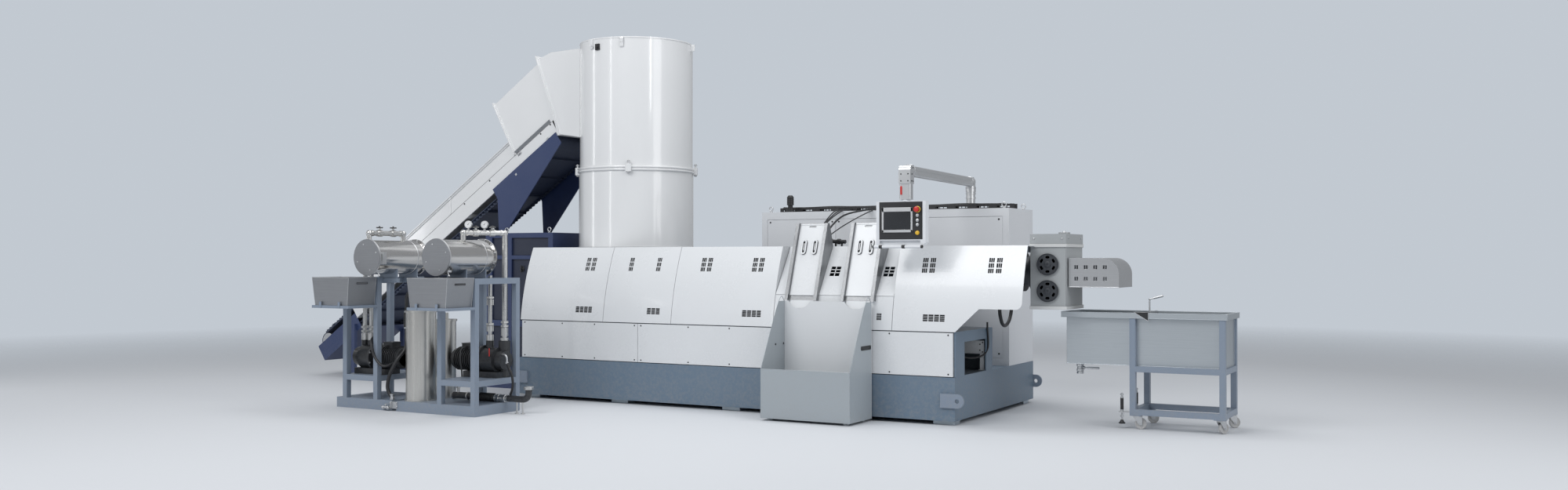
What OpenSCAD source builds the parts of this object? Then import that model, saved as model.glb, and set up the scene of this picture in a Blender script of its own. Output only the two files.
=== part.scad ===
// Plastic pelletizing line: compactor with feed conveyor, extruder with hoods, die-face cutter,
// water tank on a cart, control cabinet with a pendant arm, and two vacuum skids.
// Millimetres. X runs along the line to the right, Y away from the operator, Z up from the floor.
// Inside the modules X = 0 is the right end of the plinth and Y = 0 its front face. The whole line
// is then shifted so that the centre of the front right foot's sole is the origin.

/* [Plinth] */
// Length of the plinth
base_l = 4500; // [4400:20:5000]
// Depth of the plinth
base_d = 1970; // [1900:10:2200]
// Height of the plinth beams
base_h = 350; // [300:10:400]
// Height of the foot pads
foot_h = 35; // [20:5:60]
// Width of the long beams and end beams
beam_w = 130; // [100:10:180]
// Thickness of the plinth's deck plate
deck_t = 14; // [8:1:20]
// Number of open bays under the deck
base_bays = 6; // [4:1:8]
// Length of a foot pad
foot_l = 190; // [140:10:240]
// Width of a foot pad
foot_w = 130; // [100:10:160]
// Distance from the plinth's edges to a corner foot's centre
foot_inset = 120; // [100:5:150]

/* [Lifting lugs] */
// Height of the lug's hole above the floor
lug_z = 200; // [180:5:240]
// Radius of the lug's round end
lug_r = 57; // [45:1:70]
// Radius of the shackle hole
lug_hole_r = 18; // [12:1:25]
// Thickness of the lug plate
lug_t = 20; // [12:1:30]
// Distance of the hole beyond the end of the plinth
lug_out = 24; // [22:1:50]
// Length of lug plate welded to the beam
lug_weld_l = 120; // [80:5:200]

/* [Housing] */
// Height of the hoods' lower edge
hood_low = 750; // [720:10:780]
// Height of the hoods' top
hood_top = 1445; // [1400:5:1500]
// Distance that the hoods lean back from their lower to their upper edge
hood_lean = 185; // [150:5:220]
// Outward bulge of the hoods' front
hood_bulge = 28; // [15:1:40]
// Sheet thickness of the hoods
hood_t = 6; // [4:1:10]
// Depth of the hoods' flat top, from the front plane
hood_back = 400; // [380:5:405]
// Length of the first hood
hood_1_l = 985; // [900:5:1050]
// Length of the second hood
hood_2_l = 760; // [700:5:850]
// Length of the third hood
hood_3_l = 1060; // [950:5:1150]
// Length of the centre cover
centre_l = 1120; // [1100:5:1200]
// Length of the right hood
right_hood_l = 1095; // [1000:5:1150]
// Distance that the right hood reaches past the plinth
hood_over = 545; // [530:5:560]
// Gap between neighbouring hoods
seam = 4; // [2:1:8]
// Height at which the centre cover starts to slope back
step_z = 1030; // [1000:5:1060]
// Depth of the centre cover's upper edge
centre_back = 315; // [290:5:325]
// Front plane of the closed housing behind the hoods
core_front = 340; // [335:1:350]
// Rear plane of the extruder housing
core_back = 870; // [800:10:900]
// Depth of the lower side panels' front plane
panel_y = 4; // [2:1:8]
// Thickness of the lower side panels
panel_t = 16; // [10:1:20]
// Length of the first lower panel
panel_1_l = 1360; // [1200:10:1500]
// Length of the second lower panel
panel_2_l = 1535; // [1400:10:1600]
// Length of the open bay at the right end
bay_l = 450; // [300:10:600]
// Width of the bay's window
window_w = 500; // [400:10:560]
// Height of the bay's window
window_h = 270; // [200:10:290]
// Length of the gearbox block in the bay
block_l = 230; // [150:10:300]

/* [Hood vents] */
// Width of a column of vent windows
vent_w = 46; // [34:1:50]
// Height of one vent window
vent_h = 35; // [28:1:38]
// Height from one vent window to the next
vent_rise = 43; // [42:1:46]
// Spacing of paired window columns
vent_pitch = 66; // [60:1:72]
// Height of the middle window
vent_z = 1284; // [1260:2:1290]
// Height of a lower vent window
low_vent_h = 55; // [40:1:60]
// Width of a lower vent window
low_vent_w = 43; // [34:1:45]
// Height of the middle of the lower windows
low_vent_z = 859; // [850:1:870]

/* [Hood corner] */
// Length of the slanted edge at the right hood's lower corner, along X
notch_l = 193; // [150:5:240]
// Height of the raised lower edge of the right hood
notch_z = 938; // [900:2:960]
// Radius of the raised edge's outer corner
notch_r = 50; // [30:5:80]

/* [Discharge chutes] */
// Width of a chute over its rails
chute_w = 308; // [280:2:330]
// Distance of the left chute's centre from the plinth's right end
chute_left = 1402; // [1390:1:1410]
// Distance between the chutes' centres
chute_pitch = 534; // [500:1:560]
// Height of the rails' lower ends
chute_low = 982; // [980:1:1000]
// Height of the rails' upper ends
chute_top = 1645; // [1600:5:1700]
// Distance that the chutes lean back over their height
chute_lean = 222; // [180:2:240]
// Clearance between a chute's floor and the centre cover
chute_gap = 1.5; // [1:0.5:6]
// Width of a rail
rail_w = 30; // [20:1:40]
// Height of the rails above the chute's floor
rail_d = 34; // [25:1:40]
// Thickness of the chute's floor
floor_t = 4; // [3:1:6]
// Height of the sliding cover's lower edge
cover_low = 1022; // [1010:1:1040]
// Thickness of the sliding cover
cover_t = 6; // [4:1:10]
// Side clearance of the sliding cover between the rails
cover_play = 1; // [0.5:0.1:2]
// Radius of the chute's round lip
lip_r = 110; // [95:1:122]
// Length of a grip on the sliding cover
grip_l = 132; // [100:2:150]
// Width of a grip
grip_w = 46; // [35:1:55]
// Distance between the two grips
grip_pitch = 104; // [90:2:120]
// Height of a grip above the cover
grip_h = 16; // [10:1:20]

/* [Purge bin] */
// Width of the bin
bin_w = 822; // [780:2:860]
// Depth of the bin
bin_d = 410; // [380:5:450]
// Height of the bin's front wall
bin_front = 425; // [380:5:460]
// Height of the bin's back plate
bin_top = 979; // [960:1:979]
// Depth of the side plates' upper edge
bin_top_d = 103; // [80:1:140]
// Gap between the bin's back and the plinth
bin_gap = 20; // [15:1:30]
// Sheet thickness of the bin
bin_t = 4; // [3:1:6]
// Height of the bin's floor above the ground
bin_floor = 20; // [10:1:40]
// Depth of the round cut-outs in the back plate
scallop_d = 62; // [50:1:70]
// Length of the hand slot in the right side
hand_l = 180; // [120:5:200]
// Height of the hand slot
hand_h = 26; // [20:1:32]

/* [Compactor] */
// Distance of the tower's axis from the plinth's left end
tower_x = 687; // [660:1:710]
// Depth of the tower's axis
tower_y = 985; // [980:1:1000]
// Outer radius of the tower
tower_r = 565; // [550:1:572]
// Wall of the tower and the drum
tower_t = 8; // [6:1:12]
// Extra radius of the lower drum
drum_step = 8; // [4:1:9]
// Height of the clamp ring's middle
clamp_z = 2215; // [2150:5:2300]
// Height of the clamp ring
clamp_h = 56; // [40:2:70]
// Height of the tower's top
tower_top = 3480; // [3400:10:3600]
// Thickness of the tower's lid
lid_t = 10; // [6:1:16]

/* [Feed conveyor] */
// Slope of the conveyor, in degrees
slope = 34; // [32:0.5:36]
// Distance of the conveyor's front side from the plinth's front
feed_y = 635; // [620:5:650]
// Width of the conveyor, duct and head hood
feed_w = 700; // [660:10:700]
// Height of the side frame and covers
side_h = 328; // [300:2:350]
// Height of the cover above the side frame's seam
cover_h = 165; // [140:1:180]
// Length of the white covers below the head hood
cover_l = 2850; // [2500:10:3000]
// Reach of the conveyor frame under the head hood
head_reach = 590; // [560:5:595]
// Height of the head hood above the covers
head_h = 438; // [400:2:450]
// Sheet thickness of the duct, hood and conveyor
feed_t = 5; // [3:1:8]
// Thickness of the duct's flanges
flange_t = 10; // [6:1:16]
// Height of the flanges over the sheets
flange_up = 26; // [15:1:40]
// Length of the open loading trough
trough_l = 715; // [600:5:800]
// Height of the trough's sides
trough_h = 187; // [160:1:200]
// Depth of the trough's lower edge under the covers' top
trough_low = 447; // [430:1:460]
// Thickness of the belt
belt_t = 10; // [6:1:14]
// Radius of the belt's rollers
roller_r = 90; // [80:1:100]
// Number of cleats on the belt
cleats = 24; // [16:2:30]
// Height of a cleat
cleat_h = 26; // [15:1:35]
// Height of the feed stand
stand_h = 1600; // [1500:10:1650]
// Length of the feed stand
stand_l = 890; // [800:10:900]
// Thickness of a gusset plate
gusset_t = 12; // [8:1:16]

/* [Control cabinet] */
// Length of the cabinet
cab_l = 2537; // [2400:10:2600]
// Depth of the cabinet
cab_d = 658; // [600:2:700]
// Height of the cabinet's top above the floor
cab_top = 1790; // [1740:5:1840]
// Width of the frame left and right of the front panels
cab_edge = 60; // [40:2:80]
// Height of the frame over the front panels
cab_head = 73; // [60:1:90]
// Thickness of the front panels
cab_panel_t = 14; // [8:1:20]
// Height of the cable tray
tray_h = 46; // [35:1:60]
// Width of the cable tray
tray_w = 90; // [60:2:95]

/* [Control arm] */
// Distance of the arm's column from the plinth's right end
column_x = 495; // [460:5:520]
// Distance of the column from the cabinet's front
column_in = 348; // [320:2:380]
// Radius of the column
column_r = 41; // [35:1:50]
// Height of the turning joint above the cabinet
column_h = 165; // [140:5:200]
// Height of the arm tube's middle
arm_z = 2050; // [2000:5:2100]
// Width and height of the arm tube
arm_w = 80; // [60:2:90]
// Sideways offset of the pendant's axis from the column
arm_dx = 127; // [100:1:150]
// Reach of the arm towards the operator
arm_dy = 1780; // [1750:5:1850]
// Width of the drop tube
drop_w = 100; // [80:2:110]
// Depth of the drop tube
drop_d = 74; // [60:2:80]
// Height of the pendant's top
pendant_top = 1802; // [1780:2:1820]
// Height of the pendant's lower edge
pendant_low = 1447; // [1440:1:1470]
// Width of the pendant
pendant_w = 434; // [400:2:460]
// Depth of the pendant
pendant_d = 62; // [50:1:80]
// Distance from the pendant's axis to its left side
pendant_left = 252; // [230:2:260]
// Width of the black face
face_w = 378; // [340:2:390]
// Height of the black face
face_h = 302; // [280:2:320]

/* [Die-face cutter] */
// Distance of the cutter housing's left face past the plinth
cutter_x = 511; // [505:1:530]
// Depth of the cutter housing's front
cutter_y = 350; // [348:1:360]
// Length of the cutter housing along the line
cutter_l = 290; // [260:2:320]
// Depth of the cutter housing
cutter_d = 462; // [420:2:480]
// Height of the housing's lower edge
cutter_low = 933; // [925:1:940]
// Height of the housing's top
cutter_top = 1537; // [1500:5:1560]
// Height of the lid
lid_h = 76; // [60:1:90]
// Radius of a round rotor cover
rotor_r = 86; // [75:1:90]
// Thickness of a rotor cover
rotor_t = 16; // [10:1:25]
// Height between the two rotor covers
rotor_pitch = 213; // [200:1:225]
// Length of the cutter guard
guard_l = 402; // [380:2:420]
// Depth of the cutter guard
guard_d = 410; // [380:2:430]
// Height of the guard's top
guard_top = 1345; // [1300:5:1380]
// Height of the guard
guard_h = 232; // [200:2:260]
// Radius of the guard's round corner
guard_r = 132; // [100:2:150]

/* [Water tank] */
// Distance of the tank's left wall past the plinth
tank_x = 750; // [740:5:760]
// Length of the tank
tank_l = 1225; // [1200:5:1300]
// Depth of the tank's front wall
tank_y = 546; // [540:1:560]
// Width of the tank
tank_w = 418; // [400:2:450]
// Height of the tank's rim
tank_top = 913; // [890:1:930]
// Height of the tank's floor
tank_low = 495; // [470:1:520]
// Wall of the tank
tank_t = 3; // [2:0.5:5]
// Height of the rim's folded lip
rim_h = 42; // [30:1:50]
// Overhang of the rim
rim_out = 50; // [48:1:60]
// Width of the cart's square tubes
cart_tube = 45; // [35:1:45]
// Distance of the cart's left posts from the tank's left wall
cart_in = 515; // [450:5:600]
// Height of the bottom rails over the casters
cart_low = 112; // [108:1:130]

/* [Casters] */
// Radius of a caster wheel
wheel_r = 44; // [40:1:46]
// Width of a caster wheel
wheel_w = 28; // [22:1:32]
// Radius of the axle
axle_r = 5; // [4:0.5:6]
// Offset of the wheel from the swivel
trail = 32; // [28:1:36]
// Side of a caster's top plate
caster_plate = 88; // [80:2:96]

/* [Vacuum skids] */
// Front plane of the skids, in front of the plinth
skid_y = -1430; // [-1450:5:-1400]
// Depth of a skid
skid_d = 570; // [520:5:600]
// Height of a skid's base
skid_h = 90; // [70:2:110]
// Distance of the right skid's right side from the plinth's right end
skid_b_x = 3750; // [3700:5:3800]
// Length of the right skid
skid_b_l = 910; // [850:5:910]
// Distance of the left skid's right side from the plinth's right end
skid_a_x = 4715; // [4690:5:4740]
// Length of the left skid
skid_a_l = 680; // [650:5:750]
// Width of the skids' upright frame
rack_w = 430; // [400:5:440]
// Height of the upright frames
rack_h = 1170; // [1150:5:1180]
// Tube width of the upright frames
rack_tube = 50; // [40:1:55]
// Height of the pump platform
shelf_z = 250; // [230:5:300]
// Height of the tray rack
tray_z = 905; // [880:5:920]
// Distance that the tray rack reaches forward
tray_reach = 330; // [300:5:350]
// Height of a catch tray
tray_box_h = 245; // [220:5:255]
// Radius of the vacuum tanks
vac_r = 150; // [140:1:155]
// Height of the vacuum tanks' axis
vac_z = 1350; // [1330:5:1380]
// Length of the vacuum tanks
vac_l = 565; // [540:5:600]
// Distance of the vacuum tanks' covers in front of the skids
vac_out = 175; // [150:5:200]
// Radius of the separators
sep_r = 130; // [110:2:140]
// Height of the separators
sep_h = 790; // [740:5:800]

/* [Hidden] */
$fn = 64;

// Clearance of pieces that seat on each other, and a margin that cuts clean through
seat = 0.3;
cut = 1;
smooth = 180;
base_top = foot_h + base_h;
deck_z = hood_top - hood_t;

// Places of the hoods along the line, from the right
right_x0 = hood_over - right_hood_l;
centre_x0 = right_x0 - centre_l;
hood_3_x0 = centre_x0 - hood_3_l;
hood_2_x0 = hood_3_x0 - hood_2_l;
hood_1_x0 = hood_2_x0 - hood_1_l;

// Circle through the hoods' lower and upper edges with the given bulge, in the Y-Z plane
hood_rise = hood_top - hood_low;
hood_chord = sqrt(hood_lean * hood_lean + hood_rise * hood_rise);
hood_r = (hood_chord * hood_chord / 4 + hood_bulge * hood_bulge) / (2 * hood_bulge);
hood_cy = hood_lean / 2 + (hood_r - hood_bulge) * hood_rise / hood_chord;
hood_cz = hood_low + hood_rise / 2 - (hood_r - hood_bulge) * hood_lean / hood_chord;
function hood_y(z) = hood_cy - sqrt(hood_r * hood_r - (z - hood_cz) * (z - hood_cz));

// Front surfaces of the centre cover and of the chutes, as depth at a height
function centre_y(z) = z < step_z ? hood_y(z)
    : hood_y(step_z) + (centre_back - hood_y(step_z)) * (z - step_z) / (hood_top - step_z);
chute_tan = chute_lean / (chute_top - chute_low);
chute_angle = atan(chute_tan);
chute_y = centre_y(step_z) - chute_gap - (rail_d + floor_t) / cos(chute_angle) - (step_z - chute_low)
    * chute_tan;
function rail_y(z) = chute_y + (z - chute_low) * chute_tan;

dark = [0.16, 0.17, 0.18];
white = [0.93, 0.94, 0.95];
base_grey = [0.40, 0.49, 0.58];
frame_grey = [0.53, 0.60, 0.67];
steel = [0.72, 0.73, 0.74];
navy = [0.16, 0.22, 0.36];

module at_datum() translate([foot_inset, -foot_inset, 0]) children();

// Box between two corners
module span(a, b) translate(a) cube(b - a);

// Prism with an outline in the Y-Z plane, from x to x + l
module along_x(x, l) translate([x, 0, 0]) rotate([90, 0, 90]) linear_extrude(l) children();

// Prism with an outline in the X-Z plane, from y to y + d
module along_y(y, d) translate([0, y + d, 0]) rotate([90, 0, 0]) linear_extrude(d) children();

// Round bar along X, Y or Z
module bar_x(p, r, l) translate(p) rotate([0, 90, 0]) cylinder(r = r, h = l);
module bar_y(p, r, l) translate(p) rotate([-90, 0, 0]) cylinder(r = r, h = l);
module bar_z(p, r, l) translate(p) cylinder(r = r, h = l);

// Flat outline with round ends, length l along its first axis
module stadium(l, w) union() {
    square([l - w, w], center = true);
    for (side = [-1, 1]) translate([side * (l - w) / 2, 0]) circle(d = w);
}

module square_rounded(w, h, r) union() {
    square([w - 2 * r, h], center = true);
    square([w, h - 2 * r], center = true);
    for (i = [-1, 1], j = [-1, 1]) translate([i * (w / 2 - r), j * (h / 2 - r)]) circle(r);
}

// Plinth: long beams, end beams and cross beams under a deck plate
module base_frame() color(base_grey) difference() {
    span([-base_l, 0, foot_h], [0, base_d, base_top]);
    bay = (base_l - beam_w) / base_bays - beam_w;
    for (i = [0 : base_bays - 1])
        translate([-base_l + beam_w + i * (bay + beam_w), beam_w, foot_h - cut])
            cube([bay, base_d - 2 * beam_w, base_h - deck_t + cut]);
}

foot_xs = [foot_inset, 1130, 2130, 3340, base_l - foot_inset];
module base_feet() color(frame_grey)
    for (x = foot_xs, y = [foot_inset, base_d - foot_inset])
        translate([-x, y, 0]) linear_extrude(foot_h) square_rounded(foot_l, foot_w, 12);

module lug(side) translate([0, 0, lug_z]) rotate([90, 0, 0]) linear_extrude(lug_t)
    difference() {
        union() {
            translate([side * lug_out, 0]) circle(lug_r);
            translate([side > 0 ? -lug_weld_l : -lug_out, -lug_r])
                square([lug_weld_l + lug_out, 2 * lug_r]);
        }
        translate([side * lug_out, 0]) circle(lug_hole_r);
    }
module lifting_lugs() color(frame_grey)
    for (end = [[0, 1], [-base_l, -1]], y = [0, base_d + lug_t]) translate([end[0], y, 0]) lug(end[1]);

panel_low = base_top + 6;
panel_top = hood_low - 8;
core_x0 = -base_l + 40;
end_t = 12;
module side_panels() color(white) {
    x1 = core_x0 + panel_1_l;
    x2 = x1 + panel_2_l;
    for (x = [[core_x0, x1], [x1 + seam, x2], [x2 + seam, -20]])
        span([x[0], panel_y, panel_low], [x[1], panel_y + panel_t, panel_top]);
}

core_low_y = panel_y + panel_t;
module end_frame() color(base_grey) difference() {
    span([-end_t, core_low_y, base_top], [0, core_back, hood_low]);
    span([-end_t - cut, core_low_y + 195, base_top + 6],
        [cut, core_low_y + 195 + window_w, base_top + 6 + window_h]);
}

// Closed housing behind the hoods, with the bay at its right end and the rail under the right hood
barrel_x0 = right_x0 - 10;
module core_housing() color(frame_grey) {
    difference() {
        union() {
            span([core_x0, core_low_y, base_top], [-end_t, core_back, hood_low]);
            span([core_x0, core_front, hood_low - cut], [barrel_x0, core_back, deck_z]);
            span([core_x0, core_back - cut, base_top],
                [-tower_at + tower_r + 90, tower_y + tower_r + 50, deck_z]);
            span([barrel_x0 - cut, core_front, deck_z - 50], [cutter_x - 11, core_front + 52, deck_z]);
            span([right_x0, core_front - 50, deck_z - 50], [cutter_x - 11, core_front + cut, deck_z]);
        }
        span([-end_t - bay_l, core_low_y + 30, base_top + 6], [cut, core_back - 30, hood_low - 15]);
    }
    span([-end_t - bay_l - cut, core_low_y + 230, base_top + 130],
        [-end_t - bay_l + block_l, core_low_y + 620, hood_low - 40]);
}

// Space under a hood's front and top, set in by the sheet thickness
module hood_block(x, l, inset) intersection() {
    span([x, -hood_bulge, hood_low - cut * (inset > 0 ? 1 : 0)],
        [x + l, hood_back + cut * (inset > 0 ? 1 : 0), hood_top - inset]);
    translate([x - cut, hood_cy, hood_cz]) rotate([0, 90, 0])
        cylinder(r = hood_r - inset, h = l + 2 * cut, $fn = 720);
}

// A hood: front sheet, top sheet, closed ends where asked, and a return flange at the lower edge
module hood(x, l, left_end, right_end, back) {
    difference() {
        hood_block(x, l, 0);
        hood_block(x + (left_end ? hood_t : -cut), l + (left_end ? -hood_t : cut)
            + (right_end ? -hood_t : cut), hood_t);
        span([x - cut, back, hood_low - cut], [x + l + cut, hood_back + cut, hood_top + cut]);
        span([x - cut, core_low_y, hood_low - cut], [x + l + cut, hood_back + cut, hood_low + cut / 2]);
        if (right_end) span([x + l - 2 * hood_t, core_front - seat, hood_low - cut],
            [x + l + cut, hood_back + cut, deck_z]);
        children();
    }
}
module return_flange(x, l) span([x, hood_t, hood_low], [x + l, core_low_y + 30, hood_low + hood_t]);

module window(x, z, w, h) span([x - w / 2, -hood_bulge, z - h / 2], [x + w / 2, hood_lean, z + h / 2]);
module upright_vent(x) for (i = [-1 : 1]) window(x, vent_z + i * vent_rise, vent_w, vent_h);
module level_vent(x, count) for (i = [0 : count - 1])
    window(x + (i - (count - 1) / 2) * (low_vent_w + 6), low_vent_z, low_vent_w, low_vent_h);
module vent_pair(x) for (side = [-1, 1]) upright_vent(x + side * vent_pitch / 2);

vent_in_1 = 230;
vent_in_2 = 212;
vent_in_3 = 306;
module left_hoods() color(white) {
    hood(hood_1_x0, hood_1_l - seam, true, false, hood_back) {
        vent_pair(hood_2_x0 - vent_in_1);
        level_vent(hood_2_x0 - vent_in_1 - 5, 4);
    }
    hood(hood_2_x0, hood_2_l - seam, false, false, hood_back) {
        upright_vent(hood_3_x0 - vent_in_2 - 308);
        upright_vent(hood_3_x0 - vent_in_2);
        level_vent(hood_3_x0 - vent_in_2 + 9, 3);
    }
    hood(hood_3_x0, hood_3_l - seam, false, true, hood_back) {
        vent_pair(hood_3_x0 + vent_in_3);
        vent_pair(centre_x0 - 218);
        level_vent(centre_x0 - 226, 4);
    }
    return_flange(hood_1_x0, hood_1_l - seam);
    return_flange(hood_2_x0, hood_2_l - seam);
    return_flange(hood_3_x0, hood_3_l - seam);
}

// Centre cover: a lower sheet in line with the hoods and an upper sheet that slopes back
module centre_cover() color(white) {
    l = centre_l - seam;
    difference() {
        hood(centre_x0, l, false, false, hood_back);
        span([centre_x0 - cut, -hood_bulge, step_z - seam],
            [centre_x0 + l + cut, hood_back + cut, hood_top + cut]);
        level_vent(centre_x0 + l - 120, 1);
    }
    return_flange(centre_x0, l);
    difference() {
        along_x(centre_x0, l) polygon([[centre_y(step_z), step_z], [centre_back, hood_top],
            [hood_back, hood_top],
            [hood_back, deck_z], [centre_back + hood_t, deck_z], [centre_y(step_z) + hood_t, step_z]]);
        for (x = [-chute_left + chute_pitch / 2 - 22, centre_x0 + l - 100])
            span([x - vent_w, 0, 1190], [x + vent_w, centre_back, 1270]);
    }
    span([centre_x0, centre_y(step_z) + hood_t, step_z - seam - 30],
        [centre_x0 + l, centre_y(step_z) + 30, step_z + 6]);
}

module right_hood() color(white) difference() {
    union() {
        hood(right_x0, right_hood_l, false, false, core_front + 2) {
            vent_pair(right_x0 + 277);
            vent_pair(hood_over - 248);
            level_vent(right_x0 + 362, 4);
        }
        return_flange(right_x0, -right_x0 - end_t);
    }
    along_y(-hood_bulge - cut, hood_back) polygon([[0, hood_low - cut], [0, hood_low], [notch_l, notch_z],
        [hood_over + cut, notch_z], [hood_over + cut, hood_low - cut]]);
    translate([hood_over - notch_r, 0, notch_z + notch_r]) rotate([90, 0, 0])
        translate([0, 0, -hood_lean]) linear_extrude(hood_lean + hood_bulge + cut) difference() {
            translate([0, -notch_r - cut]) square([notch_r + cut, notch_r + cut]);
            circle(notch_r);
        }
}

// Chutes: two side rails, and a floor that ends in a round lip, seated on the centre cover
lip_l = 70;
module on_rail(xc, depth) translate([xc, chute_y + depth / cos(chute_angle), chute_low])
    rotate([90 - chute_angle, 0, 0]) children();
module chute(xc) {
    back_top = rail_y(chute_top) + rail_d + floor_t;
    for (side = [-1, 1])
        along_x(xc + side * (chute_w - rail_w) / 2 - rail_w / 2, rail_w)
            polygon([[rail_y(chute_low), chute_low],
            [rail_y(chute_top), chute_top], [back_top, chute_top], [centre_back - seat, hood_top + 2],
            [centre_y(hood_top) - seat, hood_top], [centre_y(step_z) - seat, step_z],
                [centre_y(chute_low) - seat, chute_low]]);
    on_rail(xc, rail_d + floor_t) linear_extrude(floor_t) union() {
        translate([-chute_w / 2 + rail_w - cut, 0])
            square([chute_w - 2 * rail_w + 2 * cut, (chute_top - chute_low) / cos(chute_angle) - cut]);
        translate([-lip_w / 2, -lip_l + lip_round]) square([lip_w, lip_l]);
        translate([-lip_w / 2 + lip_round, -lip_l]) square([lip_w - 2 * lip_round, lip_l]);
        for (side = [-1, 1]) translate([side * (lip_w / 2 - lip_round), -lip_l + lip_round])
            circle(lip_round);
    }
}
lip_w = 2 * lip_r;
lip_round = 60;
module discharge_chutes() color(steel) for (i = [0, 1]) chute(-chute_left + i * chute_pitch);

// Sliding cover in the chute's own plane: local X across, Y up the slope, Z out towards the operator
module on_chute(xc, z) translate([xc, rail_y(z) + (rail_d - seat) / cos(chute_angle), z])
    rotate([90 - chute_angle, 0, 0]) children();
cover_w = chute_w - 2 * rail_w - 2 * cover_play;
module chute_cover(xc) color(white) on_chute(xc, cover_low) {
    l = (chute_top - cover_low) / cos(chute_angle) - 8;
    difference() {
        translate([-cover_w / 2, 0, 0]) cube([cover_w, l, cover_t]);
        translate([0, l - 26, -cut]) linear_extrude(cover_t + 2 * cut) stadium(70, 16);
    }
    for (side = [-1, 1]) translate([side * grip_pitch / 2, l * 0.67, cover_t - seat]) rotate([0, 0, 90])
        linear_extrude(grip_h + seat) difference() {
            stadium(grip_l, grip_w);
            stadium(grip_l - 26, grip_w - 24);
        }
}
module chute_cover_left() chute_cover(-chute_left);
module chute_cover_right() chute_cover(-chute_left + chute_pitch);

// Purge bin: sheet box with tall slanted sides and a back plate cut out for the chutes' lips
module purge_bin() color(frame_grey) {
    xc = -chute_left + chute_pitch / 2;
    x0 = xc - bin_w / 2;
    x1 = xc + bin_w / 2;
    yb = -bin_gap;
    yf = -bin_gap - bin_d;
    outline = [[yf, bin_floor], [yf, bin_front], [yb - bin_top_d, bin_top], [yb, bin_top],
        [yb, bin_floor]];
    difference() {
        along_x(x0, bin_w) polygon(outline);
        along_x(x0 + bin_t, bin_w - 2 * bin_t)
            polygon([[yf + bin_t, bin_floor + bin_t], [yf + bin_t, bin_top + cut],
            [yb - bin_t, bin_top + cut], [yb - bin_t, bin_floor + bin_t]]);
        span([x0 + bin_t, yf - cut, bin_front], [x1 - bin_t, yb - bin_t, bin_top + cut]);
        for (i = [0, 1]) bar_y([-chute_left + i * chute_pitch, yb - bin_t - cut,
            bin_top - scallop_d + lip_r + 12],
            lip_r + 12, bin_t + 2 * cut);
        translate([x1 - bin_t - cut, yb - 110, 608]) rotate([90, 0, 90]) linear_extrude(bin_t + 2 * cut)
            stadium(hand_l, hand_h);
        for (y = [-184, -45]) bar_x([x0 - cut, y, 616], 8, bin_t + 2 * cut);
    }
    for (x = [x0 + 60, x1 - 60], y = [yf + 60, yb - 60]) bar_z([x, y, 0], 25, bin_floor + seat);
}

tower_at = base_l - tower_x;
module tube_z(r, t, z0, z1) translate([-tower_at, tower_y, z0]) difference() {
    cylinder(r = r, h = z1 - z0, $fn = smooth);
    translate([0, 0, -cut]) cylinder(r = r - t, h = z1 - z0 + 2 * cut, $fn = smooth);
}
clamp_low = clamp_z - clamp_h / 2;
clamp_high = clamp_z + clamp_h / 2;
drum_r = tower_r + drum_step;
module compactor_drum() color(white) {
    tube_z(drum_r, tower_t, deck_z, clamp_low);
    translate([-tower_at, tower_y, deck_z]) cylinder(r = drum_r - cut, h = tower_t, $fn = smooth);
}

// Clamp ring: two round beads over a band, with four bolted lugs
lug_turn = 28;
module clamp_ring() color(white) {
    tube_z(drum_r + 6, 26, clamp_low, clamp_high);
    for (z = [clamp_z - 13, clamp_z + 13]) translate([-tower_at, tower_y, z])
        rotate_extrude($fn = smooth) translate([drum_r + 6, 0])
            polygon([[-4, -11], [4, -11], [9, -7], [11, -2], [11, 2], [9, 7], [4, 11], [-4, 11]]);
    for (i = [0 : 3]) translate([-tower_at, tower_y, clamp_z]) rotate([0, 0, lug_turn + 90 * i])
        translate([drum_r + 22, 0, 0]) cube([40, 56, 74], center = true);
    for (i = [0 : 3]) translate([-tower_at, tower_y, clamp_z + 36]) rotate([0, 0, lug_turn + 90 * i])
        translate([drum_r + 24, 0, 0]) cylinder(r = 8, h = 22);
}

// Plane of the conveyor: local X runs up the slope, local Z square to it, from the head hood's foot
pivot = [-tower_at - 1381, 2537];
module on_slope() translate([pivot[0], 0, pivot[1]]) rotate([0, -slope, 0]) children();
function slope_x(s, n) = pivot[0] + s * cos(slope) - n * sin(slope);
function slope_z(s, n) = pivot[1] + s * sin(slope) + n * cos(slope);
feed_y1 = feed_y + feed_w;

// The duct's flange plane, from its foot to its top, in slope coordinates
duct_foot = [head_reach + 4, -side_h];
duct_head = [790, 478];
duct_top_z = 3460;
duct_low_z = 2551;
function on_duct(t, off) = [duct_foot[0] + t * (duct_head[0] - duct_foot[0]) + off * cos(duct_tilt),
    duct_foot[1] + t * (duct_head[1] - duct_foot[1]) - off * sin(duct_tilt)];
duct_tilt = atan((duct_head[0] - duct_foot[0]) / (duct_head[1] - duct_foot[1]));
function world(p) = [slope_x(p[0], p[1]), slope_z(p[0], p[1])];

duct_knee = [-tower_at - 815, 3436];
duct_end = -tower_at - 414;
duct_outline = [world(on_duct(0, 0)), world(on_duct(1, 0)), duct_knee, [-tower_at, duct_top_z],
    [-tower_at, duct_low_z - 30], [duct_end, duct_low_z]];
duct_inner = [world(on_duct(0.012, -2)) + [0, feed_t], world(on_duct(1, -2)) - [0, feed_t * 1.2],
    duct_knee - [0, feed_t * 1.2],
    [-tower_at + cut, duct_top_z - feed_t], [-tower_at + cut, duct_low_z - 30 + feed_t],
        [duct_end, duct_low_z + feed_t]];

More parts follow.
